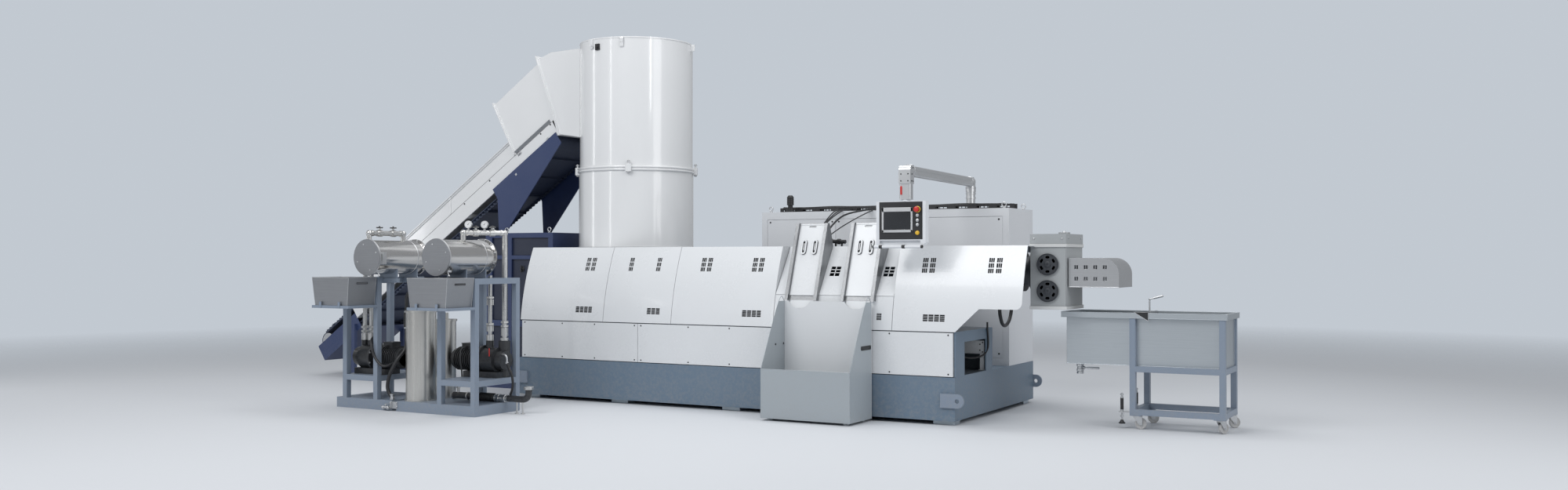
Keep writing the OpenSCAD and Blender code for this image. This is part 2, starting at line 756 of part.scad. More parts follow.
module tower_cut(r) translate([-tower_at, tower_y, deck_z]) cylinder(r = r, h = tower_top, $fn = smooth);
module feed_tower() color(white) {
    difference() {
        union() {
            tube_z(tower_r, tower_t, clamp_high, tower_top);
            for (turn = [17, 137, 257]) translate([-tower_at, tower_y, tower_top - 68])
                rotate([0, 0, turn])
                translate([tower_r - 3, -5, 0]) cube([48, 10, 66]);
        }
        along_y(feed_y + feed_t, feed_w - 2 * feed_t) polygon(duct_inner);
    }
}
module tower_lid() color(white) translate([-tower_at, tower_y, tower_top])
    cylinder(r = tower_r, h = lid_t, $fn = smooth);

module inlet_duct() color(white) difference() {
    union() {
        along_y(feed_y, feed_w) polygon(duct_outline);
        on_slope() along_y(feed_y - flange_up, feed_w + 2 * flange_up) polygon([
            on_duct(-0.02, 0), on_duct(1.04, 0), on_duct(1.04, flange_t), on_duct(-0.02, flange_t)]);
    }
    along_y(feed_y + feed_t, feed_w - 2 * feed_t) polygon(duct_inner);
    tower_cut(tower_r + seat);
}

// Head hood on the conveyor's upper end, open to the duct and to the belt under it
head_top = head_h;
head_low = -cover_h + seat;
function on_inlet(n) = 25 + n * 0.1;
function duct_s(n) = duct_foot[0] + (n - duct_foot[1]) * (duct_head[0] - duct_foot[0])
    / (duct_head[1] - duct_foot[1]);
module conveyor_head() color(white) on_slope() difference() {
    union() {
        along_y(feed_y, feed_w) polygon([[on_inlet(head_low), head_low], [on_inlet(head_top), head_top],
            [duct_s(head_top) - seat, head_top], [duct_s(head_low) - seat, head_low]]);
        along_y(feed_y - flange_up, feed_w + 2 * flange_up)
            polygon([[on_inlet(head_low), head_low], [on_inlet(head_top + 20), head_top + 20],
            [on_inlet(head_top + 20) + flange_t, head_top + 20],
                [on_inlet(head_low) + flange_t, head_low]]);
    }
    along_y(feed_y + feed_t, feed_w - 2 * feed_t) polygon([[on_inlet(head_low) + feed_t, head_low - cut],
        [on_inlet(head_top - feed_t) + feed_t, head_top - feed_t],
            [duct_s(head_top - feed_t) + cut, head_top - feed_t],
        [duct_s(head_low) + 2, head_low - cut]]);
    along_y(feed_y + feed_t, feed_w - 2 * feed_t)
        polygon([[-200, head_low - cut], [200, head_low - cut], [200, -20], [-200, -20]]);
}

// Conveyor frame: side plates, slider bed and the covers over the belt
belt_mid = -cover_h - 118;
bed_t = 6;
tail_s = -cover_l - trough_l + 10;
roller_tail = tail_s + roller_r + 60;
roller_head = head_reach - roller_r - 55;
module conveyor_frame() color(white) on_slope() {
    for (y = [feed_y, feed_y1 - feed_t]) {
        difference() {
            span([-cover_l, y, -side_h], [head_reach, y + feed_t, -cover_h]);
            bar_y([roller_head, y - cut, belt_mid], shaft_r + seat, feed_t + 2 * cut);
        }
        along_y(y, feed_t) polygon([[-cover_l, -cover_h + seat], [-cover_l, 0],
            [on_inlet(0) - seat * 4, 0],
            [on_inlet(-cover_h) - seat * 4, -cover_h + seat]]);
    }
    span([-cover_l, feed_y + feed_t - cut, -feed_t], [on_inlet(0) - seat * 4, feed_y1 - feed_t + cut, 0]);
    span([-cover_l, feed_y + feed_t - cut, belt_mid + 20],
        [roller_head - roller_r - 30, feed_y1 - feed_t + cut, belt_mid + 20 + bed_t]);
    for (y = [feed_y, feed_y1 - feed_t])
        span([-cover_l, y, -cover_h - cut], [-cover_l + 60, y + feed_t, -cover_h + cut]);
    for (s = [-cover_l, -1900, -900])
        span([s, feed_y + feed_t - cut, -side_h], [s + 40, feed_y1 - feed_t + cut, -side_h + 30]);
}

// Belt: one closed loop round both rollers, with cleats
module loop_outline(r) union() {
    translate([roller_tail, belt_mid - r]) square([roller_head - roller_tail, 2 * r]);
    for (s = [roller_tail, roller_head]) translate([s, belt_mid]) circle(r, $fn = 96);
}
belt_in = 24;
shaft_r = 20;
module conveyor_belt() color(dark) on_slope() {
    along_y(feed_y + belt_in, feed_w - 2 * belt_in) difference() {
        loop_outline(roller_r + belt_t);
        loop_outline(roller_r + seat);
    }
    run = (roller_head - roller_tail) / (cleats / 2);
    for (i = [0 : cleats / 2 - 1], side = [-1, 1])
        translate([roller_tail + (i + 0.5) * run, feed_y + belt_in,
            belt_mid + side * (roller_r + belt_t - cut)])
            mirror([0, 0, side > 0 ? 0 : 1]) cube([8, feed_w - 2 * belt_in, cleat_h]);
}
module conveyor_rollers() color(steel) on_slope() for (s = [roller_tail, roller_head]) {
    bar_y([s, feed_y + belt_in, belt_mid], roller_r, feed_w - 2 * belt_in);
    shaft_in = s == roller_tail ? feed_t + seat : seat;
    bar_y([s, feed_y + shaft_in, belt_mid], shaft_r, feed_w - 2 * shaft_in);
}

// Open trough round the conveyor's tail, with bearing plates for the tail roller and two legs
module loading_trough() color(navy) {
    on_slope() {
        for (y = [feed_y, feed_y1 - feed_t])
            span([tail_s, y, -trough_low], [-cover_l - seat, y + feed_t, -trough_low + trough_h]);
        span([tail_s, feed_y + feed_t - cut, -trough_low],
            [-cover_l - seat, feed_y1 - feed_t + cut, -trough_low + feed_t]);
        span([tail_s, feed_y + feed_t - cut, -trough_low],
            [tail_s + feed_t, feed_y1 - feed_t + cut, -trough_low + 120]);
    }
    for (y = [feed_y - 40, feed_y1]) along_y(y, 40) {
        x = slope_x(-cover_l - 120, -trough_low);
        z = slope_z(-cover_l - 120, -trough_low);
        polygon([[x - 30, 0], [x - 30, z + 60], [x + 30, z + 100], [x + 30, 0]]);
    }
}

// Gusset plates between the feed stand and the conveyor's frame
stand_x1 = -base_l - lug_out - lug_hole_r - 8;
stand_x0 = stand_x1 - stand_l;
module gusset_plates() color(navy) for (y = [feed_y - gusset_t - seat, feed_y1 + seat])
    along_y(y, gusset_t) polygon([world([570, -side_h + 40]), world([-430, -side_h + 40]),
        world([-430, -side_h - 80]),
        [slope_x(-430, -side_h - 80) + 20, stand_h], [slope_x(-430, -side_h - 80) + 110, stand_h],
            world([570, -side_h - 90])]);

module feed_stand() color(navy) {
    y0 = feed_y - 60;
    y1 = feed_y1 + 60;
    mid = stand_x0 + 300;
    difference() {
        span([stand_x0, y0, 0], [stand_x1, y1, stand_h]);
        for (z = [[90, 640], [700, 1330], [1370, stand_h - 50]]) {
            span([stand_x0 + 85, y0 - cut, z[0]], [mid, y0 + 24, z[1]]);
            span([mid + 50, y0 - cut, z[0]], [stand_x1 - 60, y0 + 24, z[1]]);
        }
        span([stand_x0 - cut, y0 + 80, 90], [stand_x0 + 24, y1 - 80, stand_h - 90]);
    }
}

// Cabinet with panels let into its front
cab_y = base_d - cab_d;
cab_x0 = -cab_l;
cab_low = base_top + 65;
module control_cabinet() color(white) difference() {
    span([cab_x0, cab_y, base_top], [-3, base_d, cab_top]);
    span([cab_x0 + cab_edge, cab_y - cut, cab_low],
        [-3 - cab_edge, cab_y + cab_panel_t, cab_top - cab_head]);
}
module cabinet_panels() color(white) {
    clear_w = cab_l - 3 - 2 * cab_edge;
    splits = [0, 0.31, 0.65, 1];
    for (i = [0 : 2])
        span([cab_x0 + cab_edge + 3 + splits[i] * clear_w, cab_y, cab_low + 3],
            [cab_x0 + cab_edge + splits[i + 1] * clear_w - 1, cab_y + cab_panel_t,
                cab_top - cab_head - 3]);
}
column_y = cab_y + column_in;
flange_r = 66;
tray_y = column_y - flange_r - 4 - tray_w;
module cable_tray() color(dark) difference() {
    span([cab_x0 + 100, tray_y, cab_top], [-20, tray_y + tray_w, cab_top + tray_h]);
    span([cab_x0 + 99, tray_y + 3, cab_top + 3], [-19, tray_y + tray_w - 3, cab_top + tray_h + cut]);
    slots = 12;
    pitch = (cab_l - 120) / slots;
    for (i = [0 : slots - 1]) span([cab_x0 + 140 + i * pitch, tray_y - cut, cab_top + 14],
        [cab_x0 + 140 + i * pitch + 120, tray_y + tray_w + cut, cab_top + 30]);
}
module beacon() color(dark) translate([-2269, cab_y + 90, cab_top]) {
    cylinder(r = 36, h = 40);
    cylinder(r = 24, h = 70);
    translate([0, 0, 70]) cylinder(r = 33, h = 78);
    translate([0, 0, 148]) cylinder(r1 = 33, r2 = 20, h = 18);
}
module eye_bolt() {
    cylinder(r = 15, h = 8);
    cylinder(r = 8, h = 16);
    translate([0, 0, 34]) rotate([90, 0, 0]) rotate_extrude() translate([20, 0]) circle(5);
}
module eye_bolts() color(steel) {
    for (x = [cab_x0 + 70, -70], y = [cab_y + 60, base_d - 60]) translate([x, y, cab_top]) eye_bolt();
    for (x = [stand_x0 + 70, stand_x0 + 260, stand_x1 - 70], y = [feed_y - 30])
        translate([x, y, stand_h]) eye_bolt();
}

// Column of the control arm, with the pin that the arm turns on
joint_z = cab_top + column_h;
pin_r = 25;
pin_h = 45;
module arm_column() color(steel) translate([-column_x, column_y, cab_top]) {
    cylinder(r = flange_r, h = 12);
    cylinder(r = column_r, h = column_h);
    for (z = [column_h - 60, column_h - 20]) translate([0, 0, z]) cylinder(r = column_r + 6, h = 12);
    cylinder(r = pin_r, h = column_h + pin_h);
}

// Swing arm: elbow, tube and head with drop tube; local X runs along the arm from the column
arm_l = sqrt(arm_dx * arm_dx + arm_dy * arm_dy);
arm_turn = -atan(arm_dy / arm_dx);
neck_h = 12;
neck_pin_r = 20;
neck_pin_h = 40;
module arm_profile() difference() {
    square_rounded(arm_w, arm_w, 14);
    for (i = [-1, 1]) {
        translate([i * arm_w / 2, 0]) square([8, 16], center = true);
        translate([0, i * arm_w / 2]) square([16, 8], center = true);
    }
}
drop_low = pendant_top + neck_h + seat;
module swing_arm() color(steel) translate([-column_x, column_y, 0]) rotate([0, 0, arm_turn]) {
    difference() {
        union() {
            translate([0, 0, joint_z + seat]) cylinder(r = column_r + 6, h = 50);
            translate([0, 0, joint_z + 40]) cylinder(r = column_r + 2, h = arm_z - joint_z - 20);
            translate([0, 0, arm_z - 20]) cylinder(r1 = column_r + 2, r2 = column_r - 12, h = 64);
            translate([-6, 0, arm_z]) rotate([0, 90, 0]) cylinder(r = column_r + 4, h = 72);
            translate([40, 0, arm_z]) rotate([90, 0, 90]) linear_extrude(arm_l - 90) arm_profile();
            translate([arm_l - 84, 0, arm_z]) rotate([0, 90, 0]) cylinder(r = 52, h = 40);
            translate([arm_l, drop_w / 2, 0]) rotate([90, 0, 0]) linear_extrude(drop_w) union() {
                translate([-drop_d / 2 - 8, arm_z - 108]) square([drop_d + 16 - 40, 150]);
                translate([drop_d / 2 - 32, arm_z - 108]) square([40, 110]);
                translate([drop_d / 2 - 32, arm_z + 2]) intersection() {
                    circle(40);
                    square(60);
                }
            }
            translate([arm_l, 0, drop_low]) rotate([0, 0, 90]) linear_extrude(arm_z - 100 - drop_low)
                square_rounded(drop_w - 4, drop_d, 12);
        }
        translate([0, 0, joint_z - cut]) cylinder(r = pin_r + 0.05, h = pin_h + 2 * cut);
        translate([arm_l, 0, drop_low - cut]) cylinder(r = neck_pin_r + 0.05, h = neck_pin_h + 2 * cut);
    }
}

// Pendant: case with side plates and lower bar, and the black face let into its front
pendant_x = -column_x + arm_dx;
pendant_y = column_y - arm_dy;
pend_x0 = pendant_x - pendant_left;
pend_yf = pendant_y - pendant_d / 2;
face_t = 4;
face_x0 = pend_x0 + (pendant_w - face_w) / 2;
face_z1 = pendant_top - 6;
module pendant_case() color(white) {
    difference() {
        translate([pend_x0, pend_yf, 0]) along_y(0, pendant_d)
            polygon([[0, pendant_low], [0, pendant_top],
            [pendant_w, pendant_top], [pendant_w, pendant_low + 22], [pendant_w - 22, pendant_low]]);
        span([face_x0 - seat, pend_yf - cut, face_z1 - face_h - seat],
            [face_x0 + face_w + seat, pend_yf + face_t, face_z1 + seat]);
        span([face_x0, pend_yf - cut, pendant_low + 12],
            [face_x0 + face_w - 20, pend_yf + 24, face_z1 - face_h - 8]);
    }
    translate([pend_x0 - 24, pend_yf - 14, pendant_low - 12]) rotate([0, 90, 0])
        cylinder(r = 12.5, h = pendant_w);
    for (x = [pend_x0 + 36, pend_x0 + 236])
        span([x, pend_yf - 14, pendant_low - 12], [x + 22, pend_yf + 2, pendant_low + 12]);
    translate([pendant_x, pendant_y, pendant_top - cut]) cylinder(r = 36, h = neck_h + cut);
    translate([pendant_x, pendant_y, pendant_top]) cylinder(r = neck_pin_r, h = neck_h + neck_pin_h);
}
module pendant_face() color(dark) {
    span([face_x0, pend_yf - 1, face_z1 - face_h], [face_x0 + face_w, pend_yf + face_t, face_z1]);
    difference() {
        span([face_x0 + 24, pend_yf - 6, face_z1 - 245], [face_x0 + 294, pend_yf, face_z1 - 45]);
        span([face_x0 + 40, pend_yf - 7, face_z1 - 225], [face_x0 + 278, pend_yf - 3, face_z1 - 78]);
    }
    bar_y([face_x0 + 335, pend_yf - 30, face_z1 - 62], 21, 31);
    for (z = [110, 150, 185, 250]) bar_y([face_x0 + 335, pend_yf - 10, face_z1 - z], z == 250 ? 15 : 10,
        11);
}

// Barrel with heater bands, and the die head that carries the cutter housing
barrel_y = 580;
barrel_z = 1235;
module barrel() color(steel) {
    bar_x([barrel_x0, barrel_y, barrel_z], 92, cutter_x - barrel_x0 - 150);
    for (i = [0 : 3]) bar_x([barrel_x0 + 60 + i * 190, barrel_y, barrel_z], 115, 150);
    bar_x([cutter_x - 190, barrel_y, barrel_z], 165, 70);
    bar_x([cutter_x - 121, barrel_y, barrel_z], 120, 80);
    bar_x([cutter_x - 42, barrel_y, barrel_z], 175, 42);
}

cutter_x1 = cutter_x + cutter_l;
cutter_y1 = cutter_y + cutter_d;
lid_z = cutter_top - lid_h;
strip = 26;
module cutter_housing() color(frame_grey) {
    span([cutter_x, cutter_y, cutter_low + strip], [cutter_x1, cutter_y1, lid_z - strip - 4]);
    span([cutter_x - 5, cutter_y - 8, cutter_low],
        [cutter_x1 + 8, cutter_y1 + 8, cutter_low + strip + cut]);
    span([cutter_x - 5, cutter_y - 8, lid_z - strip - 4 - cut],
        [cutter_x1 + 8, cutter_y1 + 8, lid_z - 4]);
}
module cutter_lid() color(frame_grey) {
    span([cutter_x - 2, cutter_y - 4, lid_z - 4], [cutter_x1 + 4, cutter_y1 + 4, cutter_top]);
    bar_z([cutter_x1 - 90, cutter_y1 - 200, cutter_top - cut], 45, 14);
}
rotor_zc = (cutter_low + lid_z) / 2 - 10;
module rotor_covers() color(dark) for (side = [-1, 1])
    translate([(cutter_x + cutter_x1) / 2, cutter_y - rotor_t, rotor_zc + side * rotor_pitch / 2])
        rotate([-90, 0, 0]) difference() {
        cylinder(r = rotor_r, h = rotor_t);
        for (i = [0 : 5]) rotate([0, 0, 60 * i + 30]) translate([rotor_r * 0.66, 0, -cut])
            rotate([0, 0, 90])
            linear_extrude(rotor_t / 2 + cut) stadium(34, 20);
    }

guard_y0 = cutter_y + 42;
module cutter_guard() color(steel) {
    z0 = guard_top - guard_h;
    x0 = cutter_x1 + 9;
    x1 = x0 + guard_l;
    difference() {
        guard_solid(x0, x1, z0, guard_y0, guard_y0 + guard_d, 0);
        guard_solid(x0 + feed_t, x1 - feed_t, z0 - cut, guard_y0 + feed_t, guard_y0 + guard_d - feed_t,
            feed_t);
        for (i = [0 : 3], j = [0, 1]) span([x0 + 48 + i * 76, guard_y0 - cut, z0 + 52 + j * 92],
            [x0 + 78 + i * 76, guard_y0 + feed_t + cut, z0 + 82 + j * 92]);
    }
    span([cutter_x1, guard_y0 + 60, z0 + 60], [x0 + cut, guard_y0 + guard_d - 60, guard_top - 60]);
}
module guard_solid(x0, x1, z0, y0, y1, inset) {
    r = guard_r - inset;
    top = guard_top - inset;
    span([x0, y0, z0], [x1 - r, y1, top]);
    span([x0, y0, z0], [x1, y1, top - r]);
    intersection() {
        bar_y([x1 - r, y0, top - r], r, y1 - y0);
        span([x1 - r - cut, y0, top - r - cut], [x1, y1, top]);
    }
}

// Water tank with a folded rim
tank_x1 = tank_x + tank_l;
tank_y1 = tank_y + tank_w;
module water_tank() color(frame_grey) {
    difference() {
        span([tank_x, tank_y, tank_low], [tank_x1, tank_y1, tank_top]);
        span([tank_x + tank_t, tank_y + tank_t, tank_low + tank_t],
            [tank_x1 - tank_t, tank_y1 - tank_t, tank_top + cut]);
    }
    difference() {
        span([tank_x - 30, tank_y - rim_out, tank_top - rim_h],
            [tank_x1 + 30, tank_y1 + rim_out, tank_top]);
        span([tank_x - 30 + tank_t, tank_y - rim_out + tank_t, tank_top - rim_h - cut],
            [tank_x1 + 30 - tank_t, tank_y1 + rim_out - tank_t, tank_top - tank_t]);
        span([tank_x + tank_t, tank_y + tank_t, tank_top - rim_h],
            [tank_x1 - tank_t, tank_y1 - tank_t, tank_top + cut]);
    }
}

cart_x0 = tank_x + cart_in;
cart_x1 = tank_x1 + 15;
cart_y0 = tank_y - cart_tube - 1;
cart_y1 = tank_y1 + cart_tube + 1;
post_top = tank_top - rim_h - 1;
plate_t = 6;
caster_xs = [cart_x0 + caster_plate / 2, cart_x1 - caster_plate / 2];
caster_ys = [cart_y0 + caster_plate / 2, cart_y1 - caster_plate / 2];
casters = [[caster_xs[0], caster_ys[0], 12], [caster_xs[1], caster_ys[0], 60],
    [caster_xs[0], caster_ys[1], 24], [caster_xs[1], caster_ys[1], 40]];
stem_r = 8;
module tank_cart() color(frame_grey) {
    difference() {
        union() {
            for (x = [cart_x0, cart_x1 - cart_tube], y = [cart_y0, cart_y1 - cart_tube])
                span([x, y, cart_low], [x + cart_tube, y + cart_tube, post_top]);
            for (z = [cart_low, tank_low - cart_tube]) {
                for (y = [cart_y0, cart_y1 - cart_tube])
                    span([cart_x0, y, z], [cart_x1, y + cart_tube, z + cart_tube]);
                for (x = [cart_x0, cart_x1 - cart_tube])
                    span([x, cart_y0, z], [x + cart_tube, cart_y1, z + cart_tube]);
            }
            for (c = casters) translate([c[0] - caster_plate / 2, c[1] - caster_plate / 2,
                cart_low - plate_t])
                cube([caster_plate, caster_plate, plate_t]);
        }
        for (c = casters) translate([c[0], c[1], cart_low - plate_t - cut])
            cylinder(r = stem_r + 0.05, h = plate_t + 2 * cut);
    }
}

// Drain pipe with its valve, and the gate plate with its cranked handle
gate_x = tank_x + 625;
module tank_fittings() color(steel) {
    bar_z([tank_x + 65, tank_y + 155, tank_low - 90], 22, 90);
    bar_z([tank_x + 65, tank_y + 155, tank_low - 92], 28, 16);
    bar_x([tank_x + 66, tank_y + 155, tank_low - 44], 6, 150);
    span([gate_x, tank_y + tank_t + seat, tank_top - 170],
        [gate_x + 4, tank_y1 - tank_t - seat, tank_top + 6]);
    bar_z([gate_x + 2, tank_y + 150, tank_top - 20], 6, 122);
    translate([gate_x + 2, tank_y + 150, tank_top + 104]) sphere(9);
    translate([gate_x + 2, tank_y + 150, tank_top + 104]) rotate([0, 75, 0]) cylinder(r = 5, h = 100);
    span([gate_x - 96, tank_y + 30, tank_top + 1], [gate_x + cut, tank_y + 60, tank_top + 5]);
}

// Levelling jack: bracket plate on the post, threaded rod, sleeve and foot
jack_foot_r = 26;
caster_reach = sqrt((trail + wheel_r) * (trail + wheel_r) + wheel_w * wheel_w / 4);
jack_x = caster_xs[0] - caster_reach - jack_foot_r - 6;
module levelling_jacks() color(steel) for (y = [cart_y0 + cart_tube / 2, cart_y1 - cart_tube / 2]) {
    span([jack_x - 24, y - 20, cart_low + 16], [cart_x0 - seat, y + 20, cart_low + 24]);
    bar_z([jack_x, y, 50], 7, 230);
    bar_z([jack_x, y, cart_low + 23], 11, 115);
    bar_z([jack_x, y, 40], jack_foot_r, 8);
    translate([jack_x, y, 48 - cut]) cylinder(r1 = 20, r2 = 10, h = 22);
}

// Caster: fork with crown, stem and axle, turned about its swivel
module caster_fork(i) color(steel) translate([casters[i][0], casters[i][1], 0])
    rotate([0, 0, casters[i][2]]) {
    crown_z = cart_low - plate_t - 5;
    translate([0, 0, crown_z]) cylinder(r = 26, h = 5 - seat);
    translate([0, 0, crown_z]) cylinder(r = stem_r, h = plate_t + 5);
    leg = wheel_w / 2 + 2;
    difference() {
        translate([-24, -leg - 3, wheel_r * 2 + 4])
            cube([24 + trail + 12, 2 * leg + 6, crown_z - wheel_r * 2 - 4 + seat]);
        translate([-60, -80, -cut]) cube([10, 160, 100]);
    }
    for (side = [-1, 1]) translate([0, side * (leg + 1.5) - 1.5, 0]) rotate([90, 0, 0])
        mirror([0, 0, 1]) linear_extrude(3)
        polygon([[-24, wheel_r * 2 + 5], [trail + 12, wheel_r * 2 + 5], [trail + 12, wheel_r - 12],
            [trail - 10, wheel_r - 12]]);
    translate([trail, -leg - 6, wheel_r]) rotate([-90, 0, 0]) cylinder(r = axle_r, h = 2 * leg + 12);
}
module caster_wheel(i) color(white) translate([casters[i][0], casters[i][1], 0])
    rotate([0, 0, casters[i][2]])
    translate([trail, 0, wheel_r]) rotate([90, 0, 0]) rotate_extrude($fn = 72) {
        bore = axle_r + 0.05;
        half = wheel_w / 2;
        polygon([[bore, -half], [14, -half], [14, -half + 4], [wheel_r - 10, -half + 4],
            [wheel_r - 8, -half + 1],
            [wheel_r - 2, -half + 1], [wheel_r, -half + 5], [wheel_r, half - 5], [wheel_r - 2, half - 1],
            [wheel_r - 8, half - 1], [wheel_r - 10, half - 4], [14, half - 4], [14, half], [bore, half]]);
    }

// Skids: base frame with a floor plate, an upright tube frame and a rack for the catch tray
module skid(x1, l, frame_x) {
    y1 = skid_y + skid_d;
    x0 = x1 - l;
    difference() {
        span([x0, skid_y, 0], [x1, y1, skid_h]);
        span([x0 + 60, skid_y + 60, -cut], [x1 - 60, y1 - 60, skid_h - 5]);
    }
    fx0 = frame_x;
    fx1 = frame_x + rack_w;
    for (x = [fx0, fx1 - rack_tube], y = [skid_y, y1 - rack_tube])
        span([x, y, skid_h - cut], [x + rack_tube, y + rack_tube, rack_h]);
    for (z = [[shelf_z, rack_tube], [rack_h - rack_tube, rack_tube]]) {
        for (y = [skid_y, y1 - rack_tube]) span([fx0, y, z[0]], [fx1, y + rack_tube, z[0] + z[1]]);
        for (x = [fx0, fx1 - rack_tube]) span([x, skid_y, z[0]], [x + rack_tube, y1, z[0] + z[1]]);
    }
    span([fx0, skid_y, shelf_z + rack_tube - 6], [fx1, y1, shelf_z + rack_tube]);
    ry0 = skid_y - tray_reach;
    ry1 = skid_y - seat;
    for (x = [fx0 - 24, fx1 - 24]) span([x, ry0, tray_z], [x + 24, ry1, tray_z + 24]);
    for (y = [ry0, ry1 - 24]) span([fx0 - 24, y, tray_z], [fx1, y + 24, tray_z + 24]);
    for (x = [fx0 + 70, fx0 + 300]) span([x, ry0 - 4, tray_z], [x + 26, ry0 + cut, tray_z + 56]);
    for (y = [vac_y0 + 235, vac_y0 + vac_l - 90]) difference() {
        union() {
            span([fx0 + rack_tube - cut, y, rack_h - rack_tube + 6],
                [max(fx1 - cut, vac_x(frame_x) + 120), y + 40, rack_h - 6]);
            span([vac_x(frame_x) - 110, y + 14, rack_h - 8], [vac_x(frame_x) + 110, y + 26, rack_h + 80]);
        }
        bar_y([vac_x(frame_x), y - cut, vac_z], vac_r + seat, 42);
    }
}
frame_b = -skid_b_x - rack_w;
frame_a = -skid_a_x - skid_a_l + 75;
function vac_x(f) = f == frame_a ? frame_a + rack_w + 50 : frame_b + 152;
module skid_frames() color(frame_grey) {
    skid(-skid_b_x, skid_b_l, frame_b);
    skid(-skid_a_x, skid_a_l, frame_a);
}

// Catch tray: folded box, wider at the top, with a hand slot in its right side
module catch_tray(fx) {
    x0 = fx - 22;
    x1 = fx + rack_w - 2;
    y0 = skid_y - tray_reach + 1;
    y1 = skid_y - 12;
    z0 = tray_z + 24;
    t = 3;
    difference() {
        tray_form(x0, x1, y0, y1, z0, 0);
        tray_form(x0, x1, y0, y1, z0 + t, t);
        span([x1 - 10, (y0 + y1) / 2 - 60, z0 + tray_box_h - 56],
            [x1 + 60, (y0 + y1) / 2 + 60, z0 + tray_box_h - 44]);
    }
}
module tray_form(x0, x1, y0, y1, z0, t) {
    flare = 28;
    h = tray_box_h - t + (t > 0 ? cut : 0);
    intersection() {
        along_y(y0 + t, y1 - y0 - 2 * t)
            polygon([[x0 + flare + t, z0], [x0 + t, z0 + h], [x1 - t, z0 + h], [x1 - flare - t, z0]]);
        along_x(x0, x1 - x0) polygon([[y0 + t + 12, z0], [y0 + t, z0 + h], [y1 - t, z0 + h],
            [y1 - t, z0]]);
    }
}
module catch_trays() color([0.42, 0.42, 0.44]) {
    catch_tray(frame_b);
    catch_tray(frame_a);
}

// Vacuum tanks lie on the saddles, with a rolled flange at the rear and a disc cover in front
vac_y0 = skid_y - vac_out;
module vacuum_tanks() color(steel) for (f = [frame_a, frame_b]) {
    bar_y([vac_x(f), vac_y0 + 12, vac_z], vac_r, vac_l - 12);
    bar_y([vac_x(f), vac_y0 + vac_l, vac_z], vac_r + 14, 14);
    translate([vac_x(f), vac_y0 + vac_l + 14, vac_z]) rotate([-90, 0, 0])
        cylinder(r1 = vac_r - 10, r2 = 60, h = 45);
    bar_y([vac_x(f), vac_y0 + 12, vac_z], vac_r + 8, 12);
}
module tank_covers() color(frame_grey) for (f = [frame_a, frame_b])
    bar_y([vac_x(f), vac_y0, vac_z], vac_r + 8, 12);

// Suction pipes: a bridge with two valves from each tank's top to an elbow, and a riser down to the pump
pipe_r = 22;
bridge_z = vac_z + vac_r + 62;
pipe_y = skid_y + skid_d - 110;
riser_x = frame_b + rack_w - 78;
module valve() {
    rotate([0, 90, 0]) cylinder(r = pipe_r + 8, h = 44, center = true);
    cylinder(r = 9, h = 50);
    translate([0, 0, 44]) cylinder(r = 27, h = 12);
}
module bridge(a, b) {
    run = sqrt((b[0] - a[0]) * (b[0] - a[0]) + (b[1] - a[1]) * (b[1] - a[1]));
    translate([a[0], a[1], bridge_z]) rotate([0, 0, atan2(b[1] - a[1], b[0] - a[0])]) {
        rotate([0, 90, 0]) cylinder(r = pipe_r, h = run);
        for (part = [0.3, 0.7]) translate([run * part, 0, 0]) valve();
        for (at = [0, run]) translate([at, 0, 0]) sphere(pipe_r + 5);
        for (at = [26, run - 40]) translate([at, 0, 0]) rotate([0, 90, 0])
            cylinder(r = pipe_r + 5, h = 14);
    }
}
module suction_pipes() color(steel) difference() {
    union() {
        bridge([vac_x(frame_a) - 20, vac_y0 + 26 + pipe_r], [vac_x(frame_a), vac_y0 + 430]);
        for (p = [[vac_x(frame_a) - 20, vac_y0 + 26 + pipe_r], [vac_x(frame_a), vac_y0 + 430],
            [vac_x(frame_b), vac_y0 + 330]])
            bar_z([p[0], p[1], vac_z + 120], pipe_r, bridge_z - vac_z - 120);
        bridge([vac_x(frame_b), vac_y0 + 330], [riser_x, pipe_y]);
        bar_z([riser_x, pipe_y, 620], pipe_r, bridge_z - 620);
        bar_z([riser_x, pipe_y, 620], pipe_r + 14, 24);
        bar_z([riser_x, pipe_y, 660], pipe_r + 9, 70);
        bar_z([frame_b + 230, pump_b_y, 620], pipe_r - 4, 570);
        for (z = [620, 700, 930]) bar_z([frame_b + 230, pump_b_y, z], pipe_r + 9, 50);
        for (x = pipes_a) {
            bar_z([x, pump_a_y, 600], pipe_r - 2, 600);
            bar_z([x, pump_a_y, 600], pipe_r + 10, 60);
        }
    }
    for (f = [frame_a, frame_b]) bar_y([vac_x(f), vac_y0, vac_z], vac_r + seat, vac_l);
}

